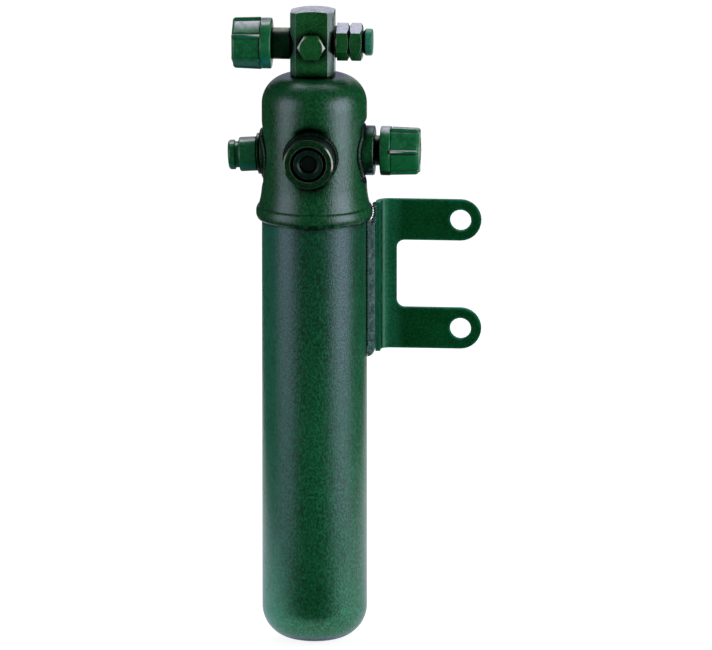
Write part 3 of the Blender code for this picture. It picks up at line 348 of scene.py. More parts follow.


# A coated or moulded surface: grain, then dust and painted light on facing sides, a painted highlight on a crest,
# edge rub with painted highlight, painted shade in hollows and on down-facing sides, and a bump
def coatedMaterial(name, look):
    look = {**usualLook, **look}
    material, tree, shader = startMaterial(name, look["plain"])
    grain = placeGroup(tree, coatGrain, {
        **look["specks"], "Colour": look["colour"], "Speck Colour": look["speckColour"],
        "Roughness": look["roughness"], "Roughness Spread": look["roughnessSpread"],
    })
    colour = grain.outputs["Colour"]
    if "lowColour" in look:
        lowGrain = placeGroup(tree, coatGrain, {
            **look["specks"], "Colour": look["lowColour"], "Speck Colour": look["lowSpeckColour"],
        })
        colour = mixNode(tree, fadeBetween(tree, *look["fade"]), lowGrain.outputs["Colour"], colour)
    # dust on tops, and painted highlights and painted shade on the sides each film is aimed at
    for settings in look["dustAndLightFilms"]:
        colour = placeGroup(tree, facingDustAndLight, {"Colour": colour, **settings}).outputs["Colour"]
    # painted highlight along the front rib's crest
    if "crestHighlightColour" in look:
        crest = fadeBetween(tree, look["crestFoot"], look["crestFoot"] + look["crestWidth"], look["crestWay"])
        colour = mixNode(tree, crest, colour, look["crestHighlightColour"])
    # edge rub with a painted highlight on rounded edges
    if "rubAndHighlight" in look:
        colour = placeGroup(tree, edgeRubAndHighlight, {"Colour": colour, **look["rubAndHighlight"]}).outputs["Colour"]
    # painted shade in hollows: the colour darkens and the gloss is taken away
    if "hollowShade" in look:
        hollow = placeGroup(tree, creviceShade, {"Colour": colour, **look["hollowShade"]})
        colour, mask, under = hollow.outputs["Colour"], hollow.outputs["Mask"], None
        # painted shade where the surface faces down
        if "underShadeColour" in look:
            underShadeFilm = dustAndLightFilm(look["underShadeColour"], 1.0, look["underStart"], look["underFull"], (0, 0, -1))
            below = placeGroup(tree, facingDustAndLight, {"Colour": colour, **underShadeFilm})
            colour, under = below.outputs["Colour"], below.outputs["Mask"]
        if "shineAmount" in look:
            gloss = placeGroup(tree, shine, {"Hollow": mask, "Amount": look["shineAmount"]})
            tree.links.new(gloss.outputs["Weight"], shader.inputs["Coat Weight"])
        else:
            tree.links.new(shadeMask(tree, look, mask, under), shader.inputs["Metallic"])
    tree.links.new(colour, shader.inputs["Base Color"])
    tree.links.new(grain.outputs["Roughness"], shader.inputs["Roughness"])
    bumpNormal(tree, shader, grain.outputs["Height"], *look["bump"])
    return material


# The can: a painted teal highlight on the side facing left, painted shade in hollows and on the gloss near the
# foot, and a colour that turns lighter and greener towards the foot
canCoat = coatedMaterial("canCoat", {
    "colour": (0.0015, 0.05, 0.008), "speckColour": (0.01, 0.2, 0.09),
    "lowColour": (0.002, 0.085, 0.014), "lowSpeckColour": (0.02, 0.33, 0.14),
    "fade": (canFoot + 110 * mm, canMouth - 20 * mm, (0, 0, 1)),
    "specks": specks(980.0, 45.0, 1.0, 0.1, (1, 1, 0.65)),
    "roughness": 0.33, "roughnessSpread": 0.14, "bump": (0.7, 0.2 * mm),
    "hollowShade": hollowShade(6 * mm, 0.95), "footReach": 85 * mm, "footAmount": 0.5,
    "dustAndLightFilms": (dustAndLightFilm((0.03, 0.32, 0.2), 0.7, 0.4, 1.0, (-0.99, -0.14, 0)),),
    "plain": {"IOR": 1.85, "Specular Tint": (0.66, 0.68, 1.0)},
})
# The head: painted shade in hollows, dark round the bosses, the bead and the block's foot, and painted shade on
# down-facing sides
headCoat = coatedMaterial("headCoat", {
    "colour": (0.0005, 0.048, 0.005), "speckColour": (0.008, 0.25, 0.075),
    "specks": specks(980.0, 60.0, 1.0, 0.1, (1, 1, 0.65)),
    "roughness": 0.31, "roughnessSpread": 0.14, "bump": (0.7, 0.2 * mm),
    "hollowShade": hollowShade(12 * mm, full=0.36), "underShadeColour": (0.0, 0.025, 0.012),
    "plain": {"IOR": 1.85, "Specular Tint": (0.77, 0.79, 1.0)},
})
# The block: pale tops, part dust and part painted highlight; painted shade on the right chamfer and a painted
# highlight on the left one; painted shade in hollows
blockLook = {
    "colour": (0.002, 0.075, 0.008), "speckColour": (0.012, 0.26, 0.06),
    "specks": specks(1100.0, 120.0, 0.75), "roughness": 0.27, "roughnessSpread": 0.16, "bump": (0.35, 0.12 * mm),
    "hollowShade": hollowShade(6 * mm, 0.95),
    "dustAndLightFilms": (
        dustAndLightFilm((0.62, 0.58, 0.8), 0.85, 0.7, 0.84),
        dustAndLightFilm((0.035, 0.11, 0.08), 0.9, 0.9, 0.98, (0.707, -0.707, 0)),
        dustAndLightFilm((0.09, 0.22, 0.17), 0.8, 0.9, 0.98, (-0.707, -0.707, 0)),
    ),
    "rubAndHighlight": rubAndHighlight((0.3, 0.34, 0.34), 0.5, 0.6 * mm),
    "plain": {"IOR": 2.0, "Specular Tint": (0.9, 0.88, 1.0)},
}
blockCoat = coatedMaterial("blockCoat", blockLook)
# The plug: painted highlights on the chamfers facing up-left and right
plugCoat = coatedMaterial("plugCoat", {**blockLook, "dustAndLightFilms": (
    dustAndLightFilm((0.75, 0.66, 0.62), 1.0, 0.95, 0.985, (-0.43, -0.87, 0.25)),
    dustAndLightFilm((0.85, 0.78, 0.72), 1.0, 0.95, 0.985, (0.48, -0.87, 0.12)),
), "rubAndHighlight": {**blockLook["rubAndHighlight"], "Amount": 0.2}})
# The relief cap: painted shade in its hollows
reliefCapCoat = coatedMaterial("reliefCapCoat", {
    "colour": (0.03, 0.22, 0.12), "speckColour": (0.08, 0.42, 0.28),
    "specks": specks(900.0, 150.0, 0.8), "roughness": 0.35, "bump": (0.3, 0.12 * mm),
    "hollowShade": hollowShade(2 * mm),
    "plain": {"Specular IOR Level": 0.5, "Specular Tint": (0.7, 0.95, 1.0)},
})
# The bracket: painted shade on faces turned right, a painted highlight along the bend, edge rub with a wide painted
# highlight; lighter and more teal on the web by the flange, darker out on the ears
bracketCoat = coatedMaterial("bracketCoat", {
    "colour": (0.0, 0.056, 0.008), "speckColour": (0.002, 0.18, 0.045),
    "lowColour": (0.01, 0.125, 0.045), "lowSpeckColour": (0.03, 0.33, 0.16),
    "fade": (0.5 * mm, 5 * mm, (1, 0, 0)),
    "specks": specks(750.0, 55.0, 0.7, 0.25), "roughness": 0.5, "bump": (0.35, 0.15 * mm),
    "dustAndLightFilms": (
        dustAndLightFilm((0.0, 0.03, 0.008), 1.0, 0.88, 0.94, (1, -0.1, 0)),
        dustAndLightFilm((0.12, 0.24, 0.2), 1.0, 0.983, 0.993, (0.72, -0.694, 0)),
    ),
    "rubAndHighlight": rubAndHighlight((0.01, 0.34, 0.19), 1.0, 2.6 * mm),
    "plain": {"Specular IOR Level": 0.3, "Specular Tint": (0.5, 0.9, 0.9)},
})

crestRadius = 15.0 * mm


# The front rib's crest, this many degrees above level, which takes a painted highlight
def crestAt(axis, degrees):
    way = np.array([0.0, -math.cos(math.radians(degrees)), math.sin(math.radians(degrees))])
    return {"crestFoot": float(axis["start"] @ way) + crestRadius, "crestWay": way.tolist()}


# Dust caps: a painted highlight on the upper facet, painted shade on faces turned nearly straight up, painted light
# on the lower front facets, a painted highlight on the front rib's crest, and painted shade on the gloss underneath
# and in hollows
capLook = {
    "colour": (0.004, 0.14, 0.035), "speckColour": (0.025, 0.33, 0.14),
    "specks": specks(650.0, 130.0, 0.65, 0.35),
    "roughness": 0.34, "roughnessSpread": 0.14, "bump": (0.3, 0.12 * mm),
    "hollowShade": hollowShade(1.4 * mm),
    "dustAndLightFilms": (
        dustAndLightFilm((0.8, 0.76, 0.95), 1.0, 0.81, 0.875, stop=0.885),
        dustAndLightFilm((0.0, 0.02, 0.03), 1.0, 0.92, 0.95),
        dustAndLightFilm((0.03, 0.3, 0.27), 0.8, 0.7, 0.85, (0, -0.45, -0.89)),
    ),
    "rubAndHighlight": rubAndHighlight((0.3, 0.45, 0.35), 0.4, 0.6 * mm),
    "crestHighlightColour": (0.95, 0.9, 0.78), "shineAmount": 1.0,
    "plain": {"Specular IOR Level": 0.0, "Coat IOR": 1.65, "Coat Roughness": 0.3},
}
capPlastic = coatedMaterial("capPlastic", {**capLook, **crestAt(outletAxis, 27)})
# The inlet cap: a painted highlight on top, painted shade on the lower front faces, painted light on the front, and
# a painted highlight on the front rib's crest
inletPlastic = coatedMaterial("inletPlastic", {
    **capLook, "dustAndLightFilms": (
        dustAndLightFilm((0.6, 0.58, 0.75), 1.0, 0.8, 0.96),
        dustAndLightFilm((0.0, 0.004, 0.002), 1.0, 0.95, 0.98, (0, -0.56, -0.83)),
        dustAndLightFilm((0.02, 0.28, 0.09), 0.7, 0.8, 0.97, (0, -0.93, -0.37)),
    ), "crestHighlightColour": (1.0, 1.0, 0.95), **crestAt(inletAxis, 8),
})
# Stubs and switch port: pale tops, part dust and part painted highlight, and painted shade in hollows
darkCoat = coatedMaterial("darkCoat", {
    "colour": (0.0, 0.012, 0.003), "speckColour": (0.005, 0.06, 0.02),
    "specks": specks(800.0, 120.0, 0.5), "roughness": 0.38, "roughnessSpread": 0.1, "bump": (0.2, 0.1 * mm),
    "hollowShade": hollowShade(3 * mm),
    "dustAndLightFilms": (dustAndLightFilm((0.5, 0.53, 0.42), 0.9, 0.8, 0.95),),
    "rubAndHighlight": rubAndHighlight((0.3, 0.36, 0.28), 0.6, 0.4 * mm),
    "plain": {"Specular IOR Level": 0.25, "Specular Tint": (0.85, 0.9, 0.9)},
})
# Painted shade: the sight boss and its weld are near black, as if in shadow
bossShade = coatedMaterial("bossShade", {
    "colour": (0.0, 0.003, 0.001), "speckColour": (0.004, 0.03, 0.012),
    "specks": specks(800.0, 160.0, 0.6), "roughness": 0.4, "bump": (0.25, 0.12 * mm),
    "plain": {"Specular IOR Level": 0.2, "Specular Tint": (0.85, 0.85, 1.0)},
})
# The sight glass body: near black behind its front face as painted shade, painted highlights on the right and left
# rims, painted shade in hollows; the ring takes the same painted shade behind its face
sightLook = {
    "colour": (0.001, 0.018, 0.004), "speckColour": (0.01, 0.1, 0.035),
    "lowColour": (0.0, 0.003, 0.001), "lowSpeckColour": (0.003, 0.02, 0.008),
    "fade": (sightFront - 1.6 * mm, sightFront - 1.0 * mm, (0, -1, 0)),
    "specks": specks(900.0, 120.0, 0.8, 0.2), "roughness": 0.33, "roughnessSpread": 0.1, "bump": (0.3, 0.12 * mm),
    "hollowShade": hollowShade(2.5 * mm, full=0.4),
    "dustAndLightFilms": (
        dustAndLightFilm((0.95, 0.92, 0.82), 1.0, 0.955, 0.98, (0.51, -0.85, 0.14)),
        dustAndLightFilm((0.4, 0.5, 0.3), 1.0, 0.96, 0.99, (-0.52, -0.85, 0.05)),
    ),
    "rubAndHighlight": rubAndHighlight((0.3, 0.32, 0.25), 0.8, 0.9 * mm),
    "plain": {"Specular IOR Level": 0.3, "Specular Tint": (0.85, 0.85, 1.0)},
}
sightCoat = coatedMaterial("sightCoat", sightLook)
ringCoat = coatedMaterial("ringCoat", {
    **sightLook, "colour": (0.001, 0.01, 0.005), "speckColour": (0.012, 0.06, 0.035),
    "dustAndLightFilms": (), "rubAndHighlight": rubAndHighlight((0.06, 0.12, 0.09), 0.5, 0.9 * mm),
})
# The bar and the flange weld: a pale colour that stands in for the light they catch, painted light
barCoat = coatedMaterial("barCoat", {
    "colour": (0.06, 0.17, 0.15), "speckColour": (0.4, 0.58, 0.6),
    "specks": specks(520.0, 150.0, 1.0), "roughness": 0.45, "roughnessSpread": 0.2, "bump": (0.8, 0.35 * mm),
    "rubAndHighlight": rubAndHighlight((0.38, 0.52, 0.55), 0.9, 0.9 * mm),
    "plain": {"Specular IOR Level": 0.6, "Specular Tint": (0.85, 0.85, 1.0)},
})
# Welds: painted shade in hollows
weldCoat = coatedMaterial("weldCoat", {
    "colour": (0.001, 0.012, 0.003), "speckColour": (0.006, 0.06, 0.02),
    "specks": specks(600.0, 200.0, 0.6, 0.4), "roughness": 0.45, "roughnessSpread": 0.2, "bump": (0.5, 0.3 * mm),
    "hollowShade": hollowShade(5 * mm, 0.9),
    "plain": {"Specular IOR Level": 0.6, "Specular Tint": (0.8, 0.85, 1.0)},
})
sightGlassFinish = coatedMaterial("sightGlassFinish", {
    "colour": (0.002, 0.004, 0.004), "speckColour": (0.004, 0.012, 0.01),
    "specks": specks(500.0, 150.0, 0.3, 0.4), "roughness": 0.07, "roughnessSpread": 0.04, "bump": (0.05, 0.05 * mm),
    "plain": {"Metallic": 0.0, "Coat Weight": 0.6, "Coat Roughness": 0.03},
})

# Looks of the nodes that stay as they are
keptLooks = {
    "plainSteel": {
        "nodes": ("pickup_tube", "tube_strainer", "lower_plate", "upper_plate", "hold_down_spring"),
        "colour": (0.42, 0.42, 0.41), "speckColour": (0.6, 0.6, 0.58),
        "specks": specks(1200.0, 80.0, 0.3, 0.4), "roughness": 0.34, "bump": (0.15, 0.08 * mm),
        "plain": {"Metallic": 1.0},
    },
    "washerMetal": {
        "nodes": ("plug_washer", "relief_washer"),
        "colour": (0.02, 0.04, 0.022), "speckColour": (0.08, 0.09, 0.05),
        "specks": specks(1200.0, 200.0, 0.4, 0.4), "roughness": 0.5, "bump": (0.15, 0.06 * mm),
        "plain": {"Metallic": 0.7},
    },
    "softMetal": {
        "nodes": ("fusible_core",),
        "colour": (0.4, 0.4, 0.42), "speckColour": (0.55, 0.55, 0.56),
        "specks": specks(1000.0, 220.0, 0.4, 0.4), "roughness": 0.5, "bump": (0.2, 0.1 * mm),
        "plain": {"Metallic": 0.95},
    },
    "sealRubber": {
        "nodes": ("sight_seal", "switch_seal"),
        "colour": (0.012, 0.012, 0.012), "speckColour": (0.03, 0.03, 0.03),
        "specks": specks(1500.0, 150.0, 0.4), "roughness": 0.75, "roughnessSpread": 0.1, "bump": (0.2, 0.06 * mm),
        "plain": {"Metallic": 0.0},
    },
    "filterFelt": {
        "nodes": ("lower_pad", "upper_pad"),
        "colour": (0.6, 0.58, 0.52), "speckColour": (0.82, 0.8, 0.74),
        "specks": specks(1600.0, 130.0, 0.6), "roughness": 0.95, "roughnessSpread": 0.05, "bump": (0.8, 0.5 * mm),
        "plain": {"Metallic": 0.0, "Sheen Weight": 0.2},
    },
}


# Drying beads: rounded cells on the bed's skin, each a little different in tone, with painted shade in the gaps
# between them
def makeBeadFinish():
    material, tree, shader = startMaterial("dryingBeads", {"Roughness": 0.85, "Metallic": 0.0})
    cells = addNode(tree, "ShaderNodeTexVoronoi", values={"Vector": objectPlace(tree), "Scale": 480.0})
    tone = mixNode(tree, cells.outputs["Color"], (0.6, 0.48, 0.32), (0.85, 0.74, 0.56))
    gapShade = spread(tree, cells.outputs["Distance"], 0.35, 0.7)
    tree.links.new(mixNode(tree, gapShade, tone, (0.2, 0.15, 0.1)), shader.inputs["Base Color"])
    bumpNormal(tree, shader, mathNode(tree, "SUBTRACT", 1.0, cells.outputs["Distance"]), 1.0, 1.0 * mm)
    return material


print("coats made:", len(bpy.data.materials))


# Surfaces

def addObject(name, data):
    made = bpy.data.objects.new(name, data)
    bpy.context.scene.collection.objects.link(made)
    return made


# Arrays of the same length side by side, as the columns of one
def columns(*parts):
    return np.stack(parts, axis=1)


# A closed outline with each corner (x, y, radius) drawn as an arc tangent to both its sides
def roundCorners(corners, steps=6):
    corners = np.array(corners, float)
    places, radii = corners[:, :2], corners[:, 2]
    back = np.roll(places, 1, axis=0) - places
    ahead = np.roll(places, -1, axis=0) - places
    backLength, aheadLength = np.linalg.norm(back, axis=1), np.linalg.norm(ahead, axis=1)
    back, ahead = back / backLength[:, None], ahead / aheadLength[:, None]
    half = np.arccos(np.clip((back * ahead).sum(axis=1), -1, 1)) / 2
    tangent = np.minimum(radii / np.tan(half), np.minimum(backLength, aheadLength) * 0.49)
    radii = tangent * np.tan(half)
    middle = back + ahead
    middle /= np.linalg.norm(middle, axis=1)[:, None]
    centres = places + middle * (radii / np.sin(half))[:, None]
    outline = []
    for place, radius, centre, start, end in zip(
        places, radii, centres, places + back * tangent[:, None], places + ahead * tangent[:, None]
    ):
        if radius < 1e-7:
            outline.append(place[None])
            continue
        first = math.atan2(*(start - centre)[::-1])
        last = math.atan2(*(end - centre)[::-1])
        sweep = (last - first + math.pi) % math.tau - math.pi
        angles = first + sweep * np.linspace(0, 1, steps + 1)
        outline.append(centre + radius * columns(np.cos(angles), np.sin(angles)))
    return np.concatenate(outline)


# Faces of a grid of points, wrapped round in either direction where asked
def gridFaces(rows, columns, wrapRows, wrapColumns):
    index = np.arange(rows * columns).reshape(rows, columns)
    lower = index if wrapRows else index[:-1]
    upper = np.roll(index, -1, axis=0) if wrapRows else index[1:]
    faces = np.stack([lower, np.roll(lower, -1, axis=1), np.roll(upper, -1, axis=1), upper], axis=-1)
    if not wrapColumns:
        faces = faces[:, :-1]
    return faces.reshape(-1, 4)


# Makes a piece of a grid: doubles merged, poles closed, normals outward, sharp only at hard edges
def gridPiece(name, grid, material, replaced=(), wrapRows=False, sharp=38):
    mesh = bpy.data.meshes.new(name)
    faces = gridFaces(grid.shape[0], grid.shape[1], wrapRows, True)
    mesh.from_pydata(grid.reshape(-1, 3).tolist(), [], faces.tolist())
    builder = bmesh.new()
    builder.from_mesh(mesh)
    bmesh.ops.remove_doubles(builder, verts=builder.verts, dist=0.002 * mm)
    bmesh.ops.recalc_face_normals(builder, faces=builder.faces)
    builder.to_mesh(mesh)
    builder.free()
    return dressPiece(name, mesh, material, replaced, sharp)


def dressPiece(name, mesh, material, replaced, sharp):
    mesh.shade_smooth()
    mesh.set_sharp_from_angle(angle=math.radians(sharp))
    mesh.materials.append(material)
    piece = addObject(name, mesh)
    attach(piece, "root")
    if replaced:
        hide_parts(*replaced)
    return piece


# Points at distance r and height h on an axis, for whole arrays of r, h and angle
def onAxis(axis, r, h, angle):
    r, h, angle = np.broadcast_arrays(r, h, angle)
    return (
        axis["start"] + h[..., None] * axis["out"]
        + (r * np.cos(angle))[..., None] * axis["side"] + (r * np.sin(angle))[..., None] * axis["up"]
    )


def aroundAngles(steps):
    return np.linspace(0, math.tau, steps, endpoint=False)


# A surface of revolution: the closed (r, h) outline swept round the axis
def turnedPiece(name, outline, axis, material, replaced=(), steps=128, sharp=38):
    outline = np.array(outline, float)
    grid = onAxis(axis, outline[:, :1], outline[:, 1:2], aroundAngles(steps)[None])
    return gridPiece(name, grid, material, replaced, wrapRows=True, sharp=sharp)


# Radius of a six-sided form with softened corners: a high power mean of its six sides' distances
def hexRadius(angle, flats, turn, power):
    sides = turn + math.pi / 6 + np.arange(6) * math.pi / 3
    facing = np.maximum(np.cos(angle[..., None] - sides), 0)
    return flats / 2 / (facing ** power).sum(axis=-1) ** (1 / power)


# A hexagon with its corners turned off: each row's radius is the lesser of the hexagon's and the cone's
def hexPiece(name, size, axis, start, end, material, replaced):
    angle = aroundAngles(288)[None]
    hexagon = hexRadius(angle, size["flats"], size["turn"], size["power"])
    corner = size["flats"] / math.sqrt(3) + 0.1 * mm
    face = size["flats"] / 2 * size["face"]
    drop = (corner - face) * math.tan(math.radians(30))
    rows = [(start, size["bore"])]
    if size["bothEnds"]:
        rows += [(start, face * 0.97), (start + 0.05 * mm, face)]
        rows += [(start + drop * share, face + (corner - face) * share) for share in np.linspace(0.1, 1, 9)]
    else:
        rows += [(start, corner)]
    rows += [(end - drop * share, face + (corner - face) * share) for share in np.linspace(1, 0.1, 9)]
    rows += [(end - 0.05 * mm, face), (end, face * 0.97), (end, size["bore"])]
    rows = np.array(rows)
    radius = np.minimum(hexagon, rows[:, 1:2])
    return gridPiece(name, onAxis(axis, radius, rows[:, :1], angle), material, replaced, wrapRows=True)


# A bead of weld: a round section carried along a path of points, its size rippled along the way
def beadPiece(name, path, outward, size, material, closed=True):
    count = len(path)
    if closed:
        ahead = np.roll(path, -1, axis=0) - np.roll(path, 1, axis=0)
    else:
        ahead = np.gradient(path, axis=0)
    ahead /= np.linalg.norm(ahead, axis=1)[:, None]
    outward = outward - (outward * ahead).sum(axis=1)[:, None] * ahead
    outward /= np.linalg.norm(outward, axis=1)[:, None]
    across = np.cross(ahead, outward)
    share = np.arange(count) / count
    ripple = 1 + size["ripple"] * np.sin(math.tau * size["ripples"] * share + np.sin(9 * math.tau * share))
    radius = size["radius"] * ripple
    if not closed:
        ends = np.minimum(np.arange(count), np.arange(count)[::-1]) / size["endSteps"]
        radius = radius * np.sqrt(np.clip(1 - (1 - np.clip(ends, 0, 1)) ** 2, 0, 1))
    angle = aroundAngles(16)
    section = (
        outward[:, None] * (np.cos(angle) * size["rise"])[None, :, None]
        + across[:, None] * np.sin(angle)[None, :, None]
    )
    grid = path[:, None] + section * radius[:, None, None]
    return gridPiece(name, grid, material, wrapRows=closed, sharp=60)


# A copy of a flat-sided node with its doubles merged, its flat faces joined and its edges rounded
def roundedCopy(name, node, width, material):
    builder = bmesh.new()
    builder.from_mesh(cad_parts[node].data)
    bmesh.ops.remove_doubles(builder, verts=builder.verts, dist=0.002 * mm)
    bmesh.ops.dissolve_limit(builder, angle_limit=math.radians(0.5), verts=builder.verts, edges=builder.edges)
    mesh = bpy.data.meshes.new(name)
    builder.to_mesh(mesh)
    builder.free()
    piece = dressPiece(name, mesh, material, (node,), 50)
    bevel = piece.modifiers.new("roundEdges", "BEVEL")
    bevel.width = width
    bevel.segments = 3
    bevel.limit_method = "ANGLE"
    bevel.angle_limit = math.radians(38)
    bevel.harden_normals = True
    return piece


# The can

canSize = {"wall": 2.0 * mm, "knuckle": 19.0 * mm, "crown": 70.0 * mm, "steps": 256}


# Dished end: an arc of the crown's radius from the middle, then the knuckle's arc up to the side
def domeOutline(radius, knuckle, crown, foot):
    ring = radius - knuckle
    rise = crown - math.sqrt((crown - knuckle) ** 2 - ring ** 2)
    meet = math.asin(ring / (crown - knuckle))
    crownAngle = np.linspace(0, meet, 14)
    kneeAngle = np.linspace(meet, math.pi / 2, 28)[1:]
    crownPart = columns(crown * np.sin(crownAngle), foot + crown - crown * np.cos(crownAngle))
    kneePart = columns(ring + knuckle * np.sin(kneeAngle), foot + rise - knuckle * np.cos(kneeAngle))
    return np.concatenate([crownPart, kneePart])


def makeCan():
    wall, height = canSize["wall"], canMouth - canFoot
    outside = domeOutline(canRadius, canSize["knuckle"], canSize["crown"], 0.0)
    inside = domeOutline(canRadius - wall, canSize["knuckle"] - wall, canSize["crown"] - wall, wall)
    side = np.linspace(outside[-1, 1], height, 40)[1:]
    wallUp = columns(np.full(side.size, canRadius), side)
    outline = np.concatenate([outside, wallUp, [[canRadius - wall, height]], inside[::-1]])
    turnedPiece("can", outline, uprightAxis, canCoat, ("canister",), canSize["steps"])


makeCan()


# The head

headSize = {
    "wall": 2.5 * mm, "shoulder": 16.5 * mm, "lip": 1.2 * mm, "overlap": 10.1 * mm, "bead": 3.3 * mm,
    "beadTop": 2.0 * mm, "flareFoot": 1.8 * mm, "flareHeight": 12.25 * mm, "hole": 9.3 * mm, "soften": 0.3 * mm,
    "steps": 320, "padHalf": 15.2 * mm, "padRun": 3.0 * mm, "play": 0.3 * mm,
}
padDepth = {"inlet": 2.3 * mm, "sight": 1.2 * mm, "switch": 1.1 * mm}
headPads = (
    (0.0, inletAxis["start"][2], padDepth["inlet"]),
    (-math.pi / 2, sightAxis["start"][2], padDepth["sight"]),
    (math.pi, canMouth + 27.1 * mm, padDepth["switch"]),
)


# The lesser of two lengths, with the crossing rounded off
def softLesser(first, second, soften):
    return -soften * np.logaddexp(-first / soften, -second / soften)


# The head's radius at an angle and height: round, but pressed flat where a port stands
def pressedRadius(radius, height, angle, offset=0.0):
    result = radius + 0 * angle
    for direction, level, depth in headPads:
        facing = np.cos(angle - direction)
        pastEnd = np.maximum(0, np.abs(height - level) - headSize["padHalf"])
        flat = canRadius - depth + offset + pastEnd * depth / headSize["padRun"]
        reach = np.where(facing > 0.3, flat / np.maximum(facing, 0.3), 1.0)
        result = softLesser(result, reach, headSize["soften"])
    return result


def makeHead():
    size = headSize
    bottom, top = canMouth - size["overlap"], headTop
    beadTop = canMouth - size["beadTop"]
    angle = aroundAngles(size["steps"])[None]
    share = np.linspace(-1, 1, 25)
    edge = np.where(share < 0, canRadius + size["lip"], canRadius + size["flareFoot"])
    middle, half = (bottom + beadTop) / 2, (beadTop - bottom) / 2
    crest = canRadius + size["bead"]
    bead = columns(edge + (crest - edge) * np.sqrt(1 - share ** 2), middle + half * share)
    rise = np.linspace(0.03, 1, 22)
    flare = columns(canRadius + size["flareFoot"] * (1 - rise) ** 2, beadTop + size["flareHeight"] * rise)
    sideHeights = np.linspace(flare[-1, 1], top - size["shoulder"], 70)[1:]
    side = columns(np.full(sideHeights.size, canRadius), sideHeights)
    turn = np.linspace(0, math.pi / 2, 20)[1:]
    ring = canRadius - size["shoulder"]
    shoulder = size["shoulder"] * columns(np.cos(turn), np.sin(turn)) + [ring, top - size["shoulder"]]
    outside = np.concatenate([bead, flare, side, shoulder])
    inside = outside[len(bead) + len(flare):][::-1] - [size["wall"], size["wall"]]
    inside[:, 0] = np.maximum(inside[:, 0], size["hole"])
    rows = np.concatenate([
        outside, [[size["hole"], top]], [[size["hole"], top - size["wall"]]], inside,
        [[canRadius - size["wall"], canMouth + size["play"]], [canRadius + size["play"], canMouth + size["play"]]],
        [[canRadius + size["play"], bottom]],
    ])
    height = rows[:, 1:2]
    radius = pressedRadius(rows[:, :1], height, angle)
    innerStart, innerEnd = len(outside) + 1, len(rows) - 2
    radius[innerStart:innerEnd] = pressedRadius(
        rows[innerStart:innerEnd, :1], height[innerStart:innerEnd], angle, -size["wall"],
    )
    flatOnly = np.arange(len(rows)) >= innerEnd - 1
    radius[flatOnly] = rows[flatOnly, :1]
    grid = onAxis(uprightAxis, radius, height - canFoot, angle)
    gridPiece("headShell", grid, headCoat, ("head",), wrapRows=True, sharp=45)


makeHead()
print("can and head made")


# Weld bosses and the beads round them

weldSize = {"radius": 1.5 * mm, "rise": 0.8, "ripple": 0.06, "ripples": 34, "outside": 0.25, "bossBore": 9.3 * mm}


def makeBoss(name, node, axis, edge, depth, material):
    start, end, radius = nodeReach(node, axis)
    bore = weldSize["bossBore"]
    outline = roundCorners([(bore, start, 0), (radius, start, 0), (radius, end, edge), (bore, end, 0)])
    turnedPiece(name, outline, axis, material, (node,))
    angle = aroundAngles(200)
    spot = radius + weldSize["radius"] * weldSize["outside"]
    out = np.minimum(canRadius - depth, np.sqrt(canRadius ** 2 - (spot * np.cos(angle)) ** 2)) + 0.1 * mm
    path = onAxis(axis, spot, out, angle)
    outward = np.cos(angle)[:, None] * axis["side"] + np.sin(angle)[:, None] * axis["up"] + axis["out"]
    weldMaterial = weldCoat if material is headCoat else material
    beadPiece(name + "Weld", path, outward, weldSize, weldMaterial)


makeBoss("inletBoss", "inlet_boss", inletAxis, 0.8 * mm, padDepth["inlet"], headCoat)
# the sight boss and its weld take the near-black painted shade
makeBoss("sightBoss", "sight_boss", sightAxis, 0.8 * mm, padDepth["sight"], bossShade)
makeBoss("switchBoss", "switch_boss", switchAxis, 0.3 * mm, padDepth["switch"], headCoat)


# The sight glass

sightSize = {
    "shank": 9.0 * mm, "shankLength": 8.0 * mm, "bevel": 0.9 * mm, "drop": 0.56 * mm, "groove": 10.3 * mm,
    "floor": 2.4 * mm, "bore": 4.0 * mm, "window": 5.0 * mm, "crown": 0.9 * mm, "step": 8.5 * mm,
    "stepDepth": 1.7 * mm,
}


def makeSightGlass():
    size = sightSize
    start, end, radius = nodeReach("sight_body", sightAxis)
    floor, seat, shank = end - size["floor"], start + size["shankLength"], size["shank"]
    body = roundCorners([
        (size["bore"], start, 0), (shank, start, 0), (shank, seat, 0), (radius, seat, 0.3 * mm),
        (radius, end - size["drop"], 0.2 * mm), (radius - size["bevel"], end, 0.2 * mm),
        (size["groove"], end, 0), (size["groove"], floor, 0), (size["bore"], floor, 0),
    ])
    turnedPiece("sightBody", body, sightAxis, sightCoat, ("sight_body",), 160)
    ringStart, ringEnd, ringRadius = nodeReach("sight_ring", sightAxis)
    step = ringEnd - size["stepDepth"]
    ring = roundCorners([
        (size["window"], ringStart, 0), (ringRadius, ringStart, 0), (ringRadius, step, 0.2 * mm),
        (size["step"], step, 0.2 * mm), (size["step"], ringEnd, 0.5 * mm),
        (size["window"] + 1.2 * mm, ringEnd, 0.4 * mm), (size["window"], ringEnd - 1.0 * mm, 0.3 * mm),
    ])
    turnedPiece("sightRing", ring, sightAxis, ringCoat, ("sight_ring",), 160)
    lensStart, lensEnd, lensRadius = nodeReach("sight_lens", sightAxis)
    share = np.linspace(1, 0, 14)
    window = size["window"] - 0.3 * mm
    crown = columns(window * share, lensEnd - size["crown"] + size["crown"] * (1 - share ** 2))
    rim = lensEnd - size["crown"] - 0.3 * mm
    lens = np.concatenate([[[0, lensStart], [lensRadius, lensStart], [lensRadius, rim], [window, rim]], crown])
    turnedPiece("sightLens", lens, sightAxis, sightGlassFinish, ("sight_lens",))


makeSightGlass()


# Threaded stubs, with the run of thread that ends inside the cap

stubSize = {
    "bore": 5.0 * mm, "thread": 7.5 * mm, "pitch": 1.5 * mm, "depth": 0.9 * mm, "end": 6.7 * mm,
    "threadStart": 1 * mm, "threadFree": 2 * mm,
}


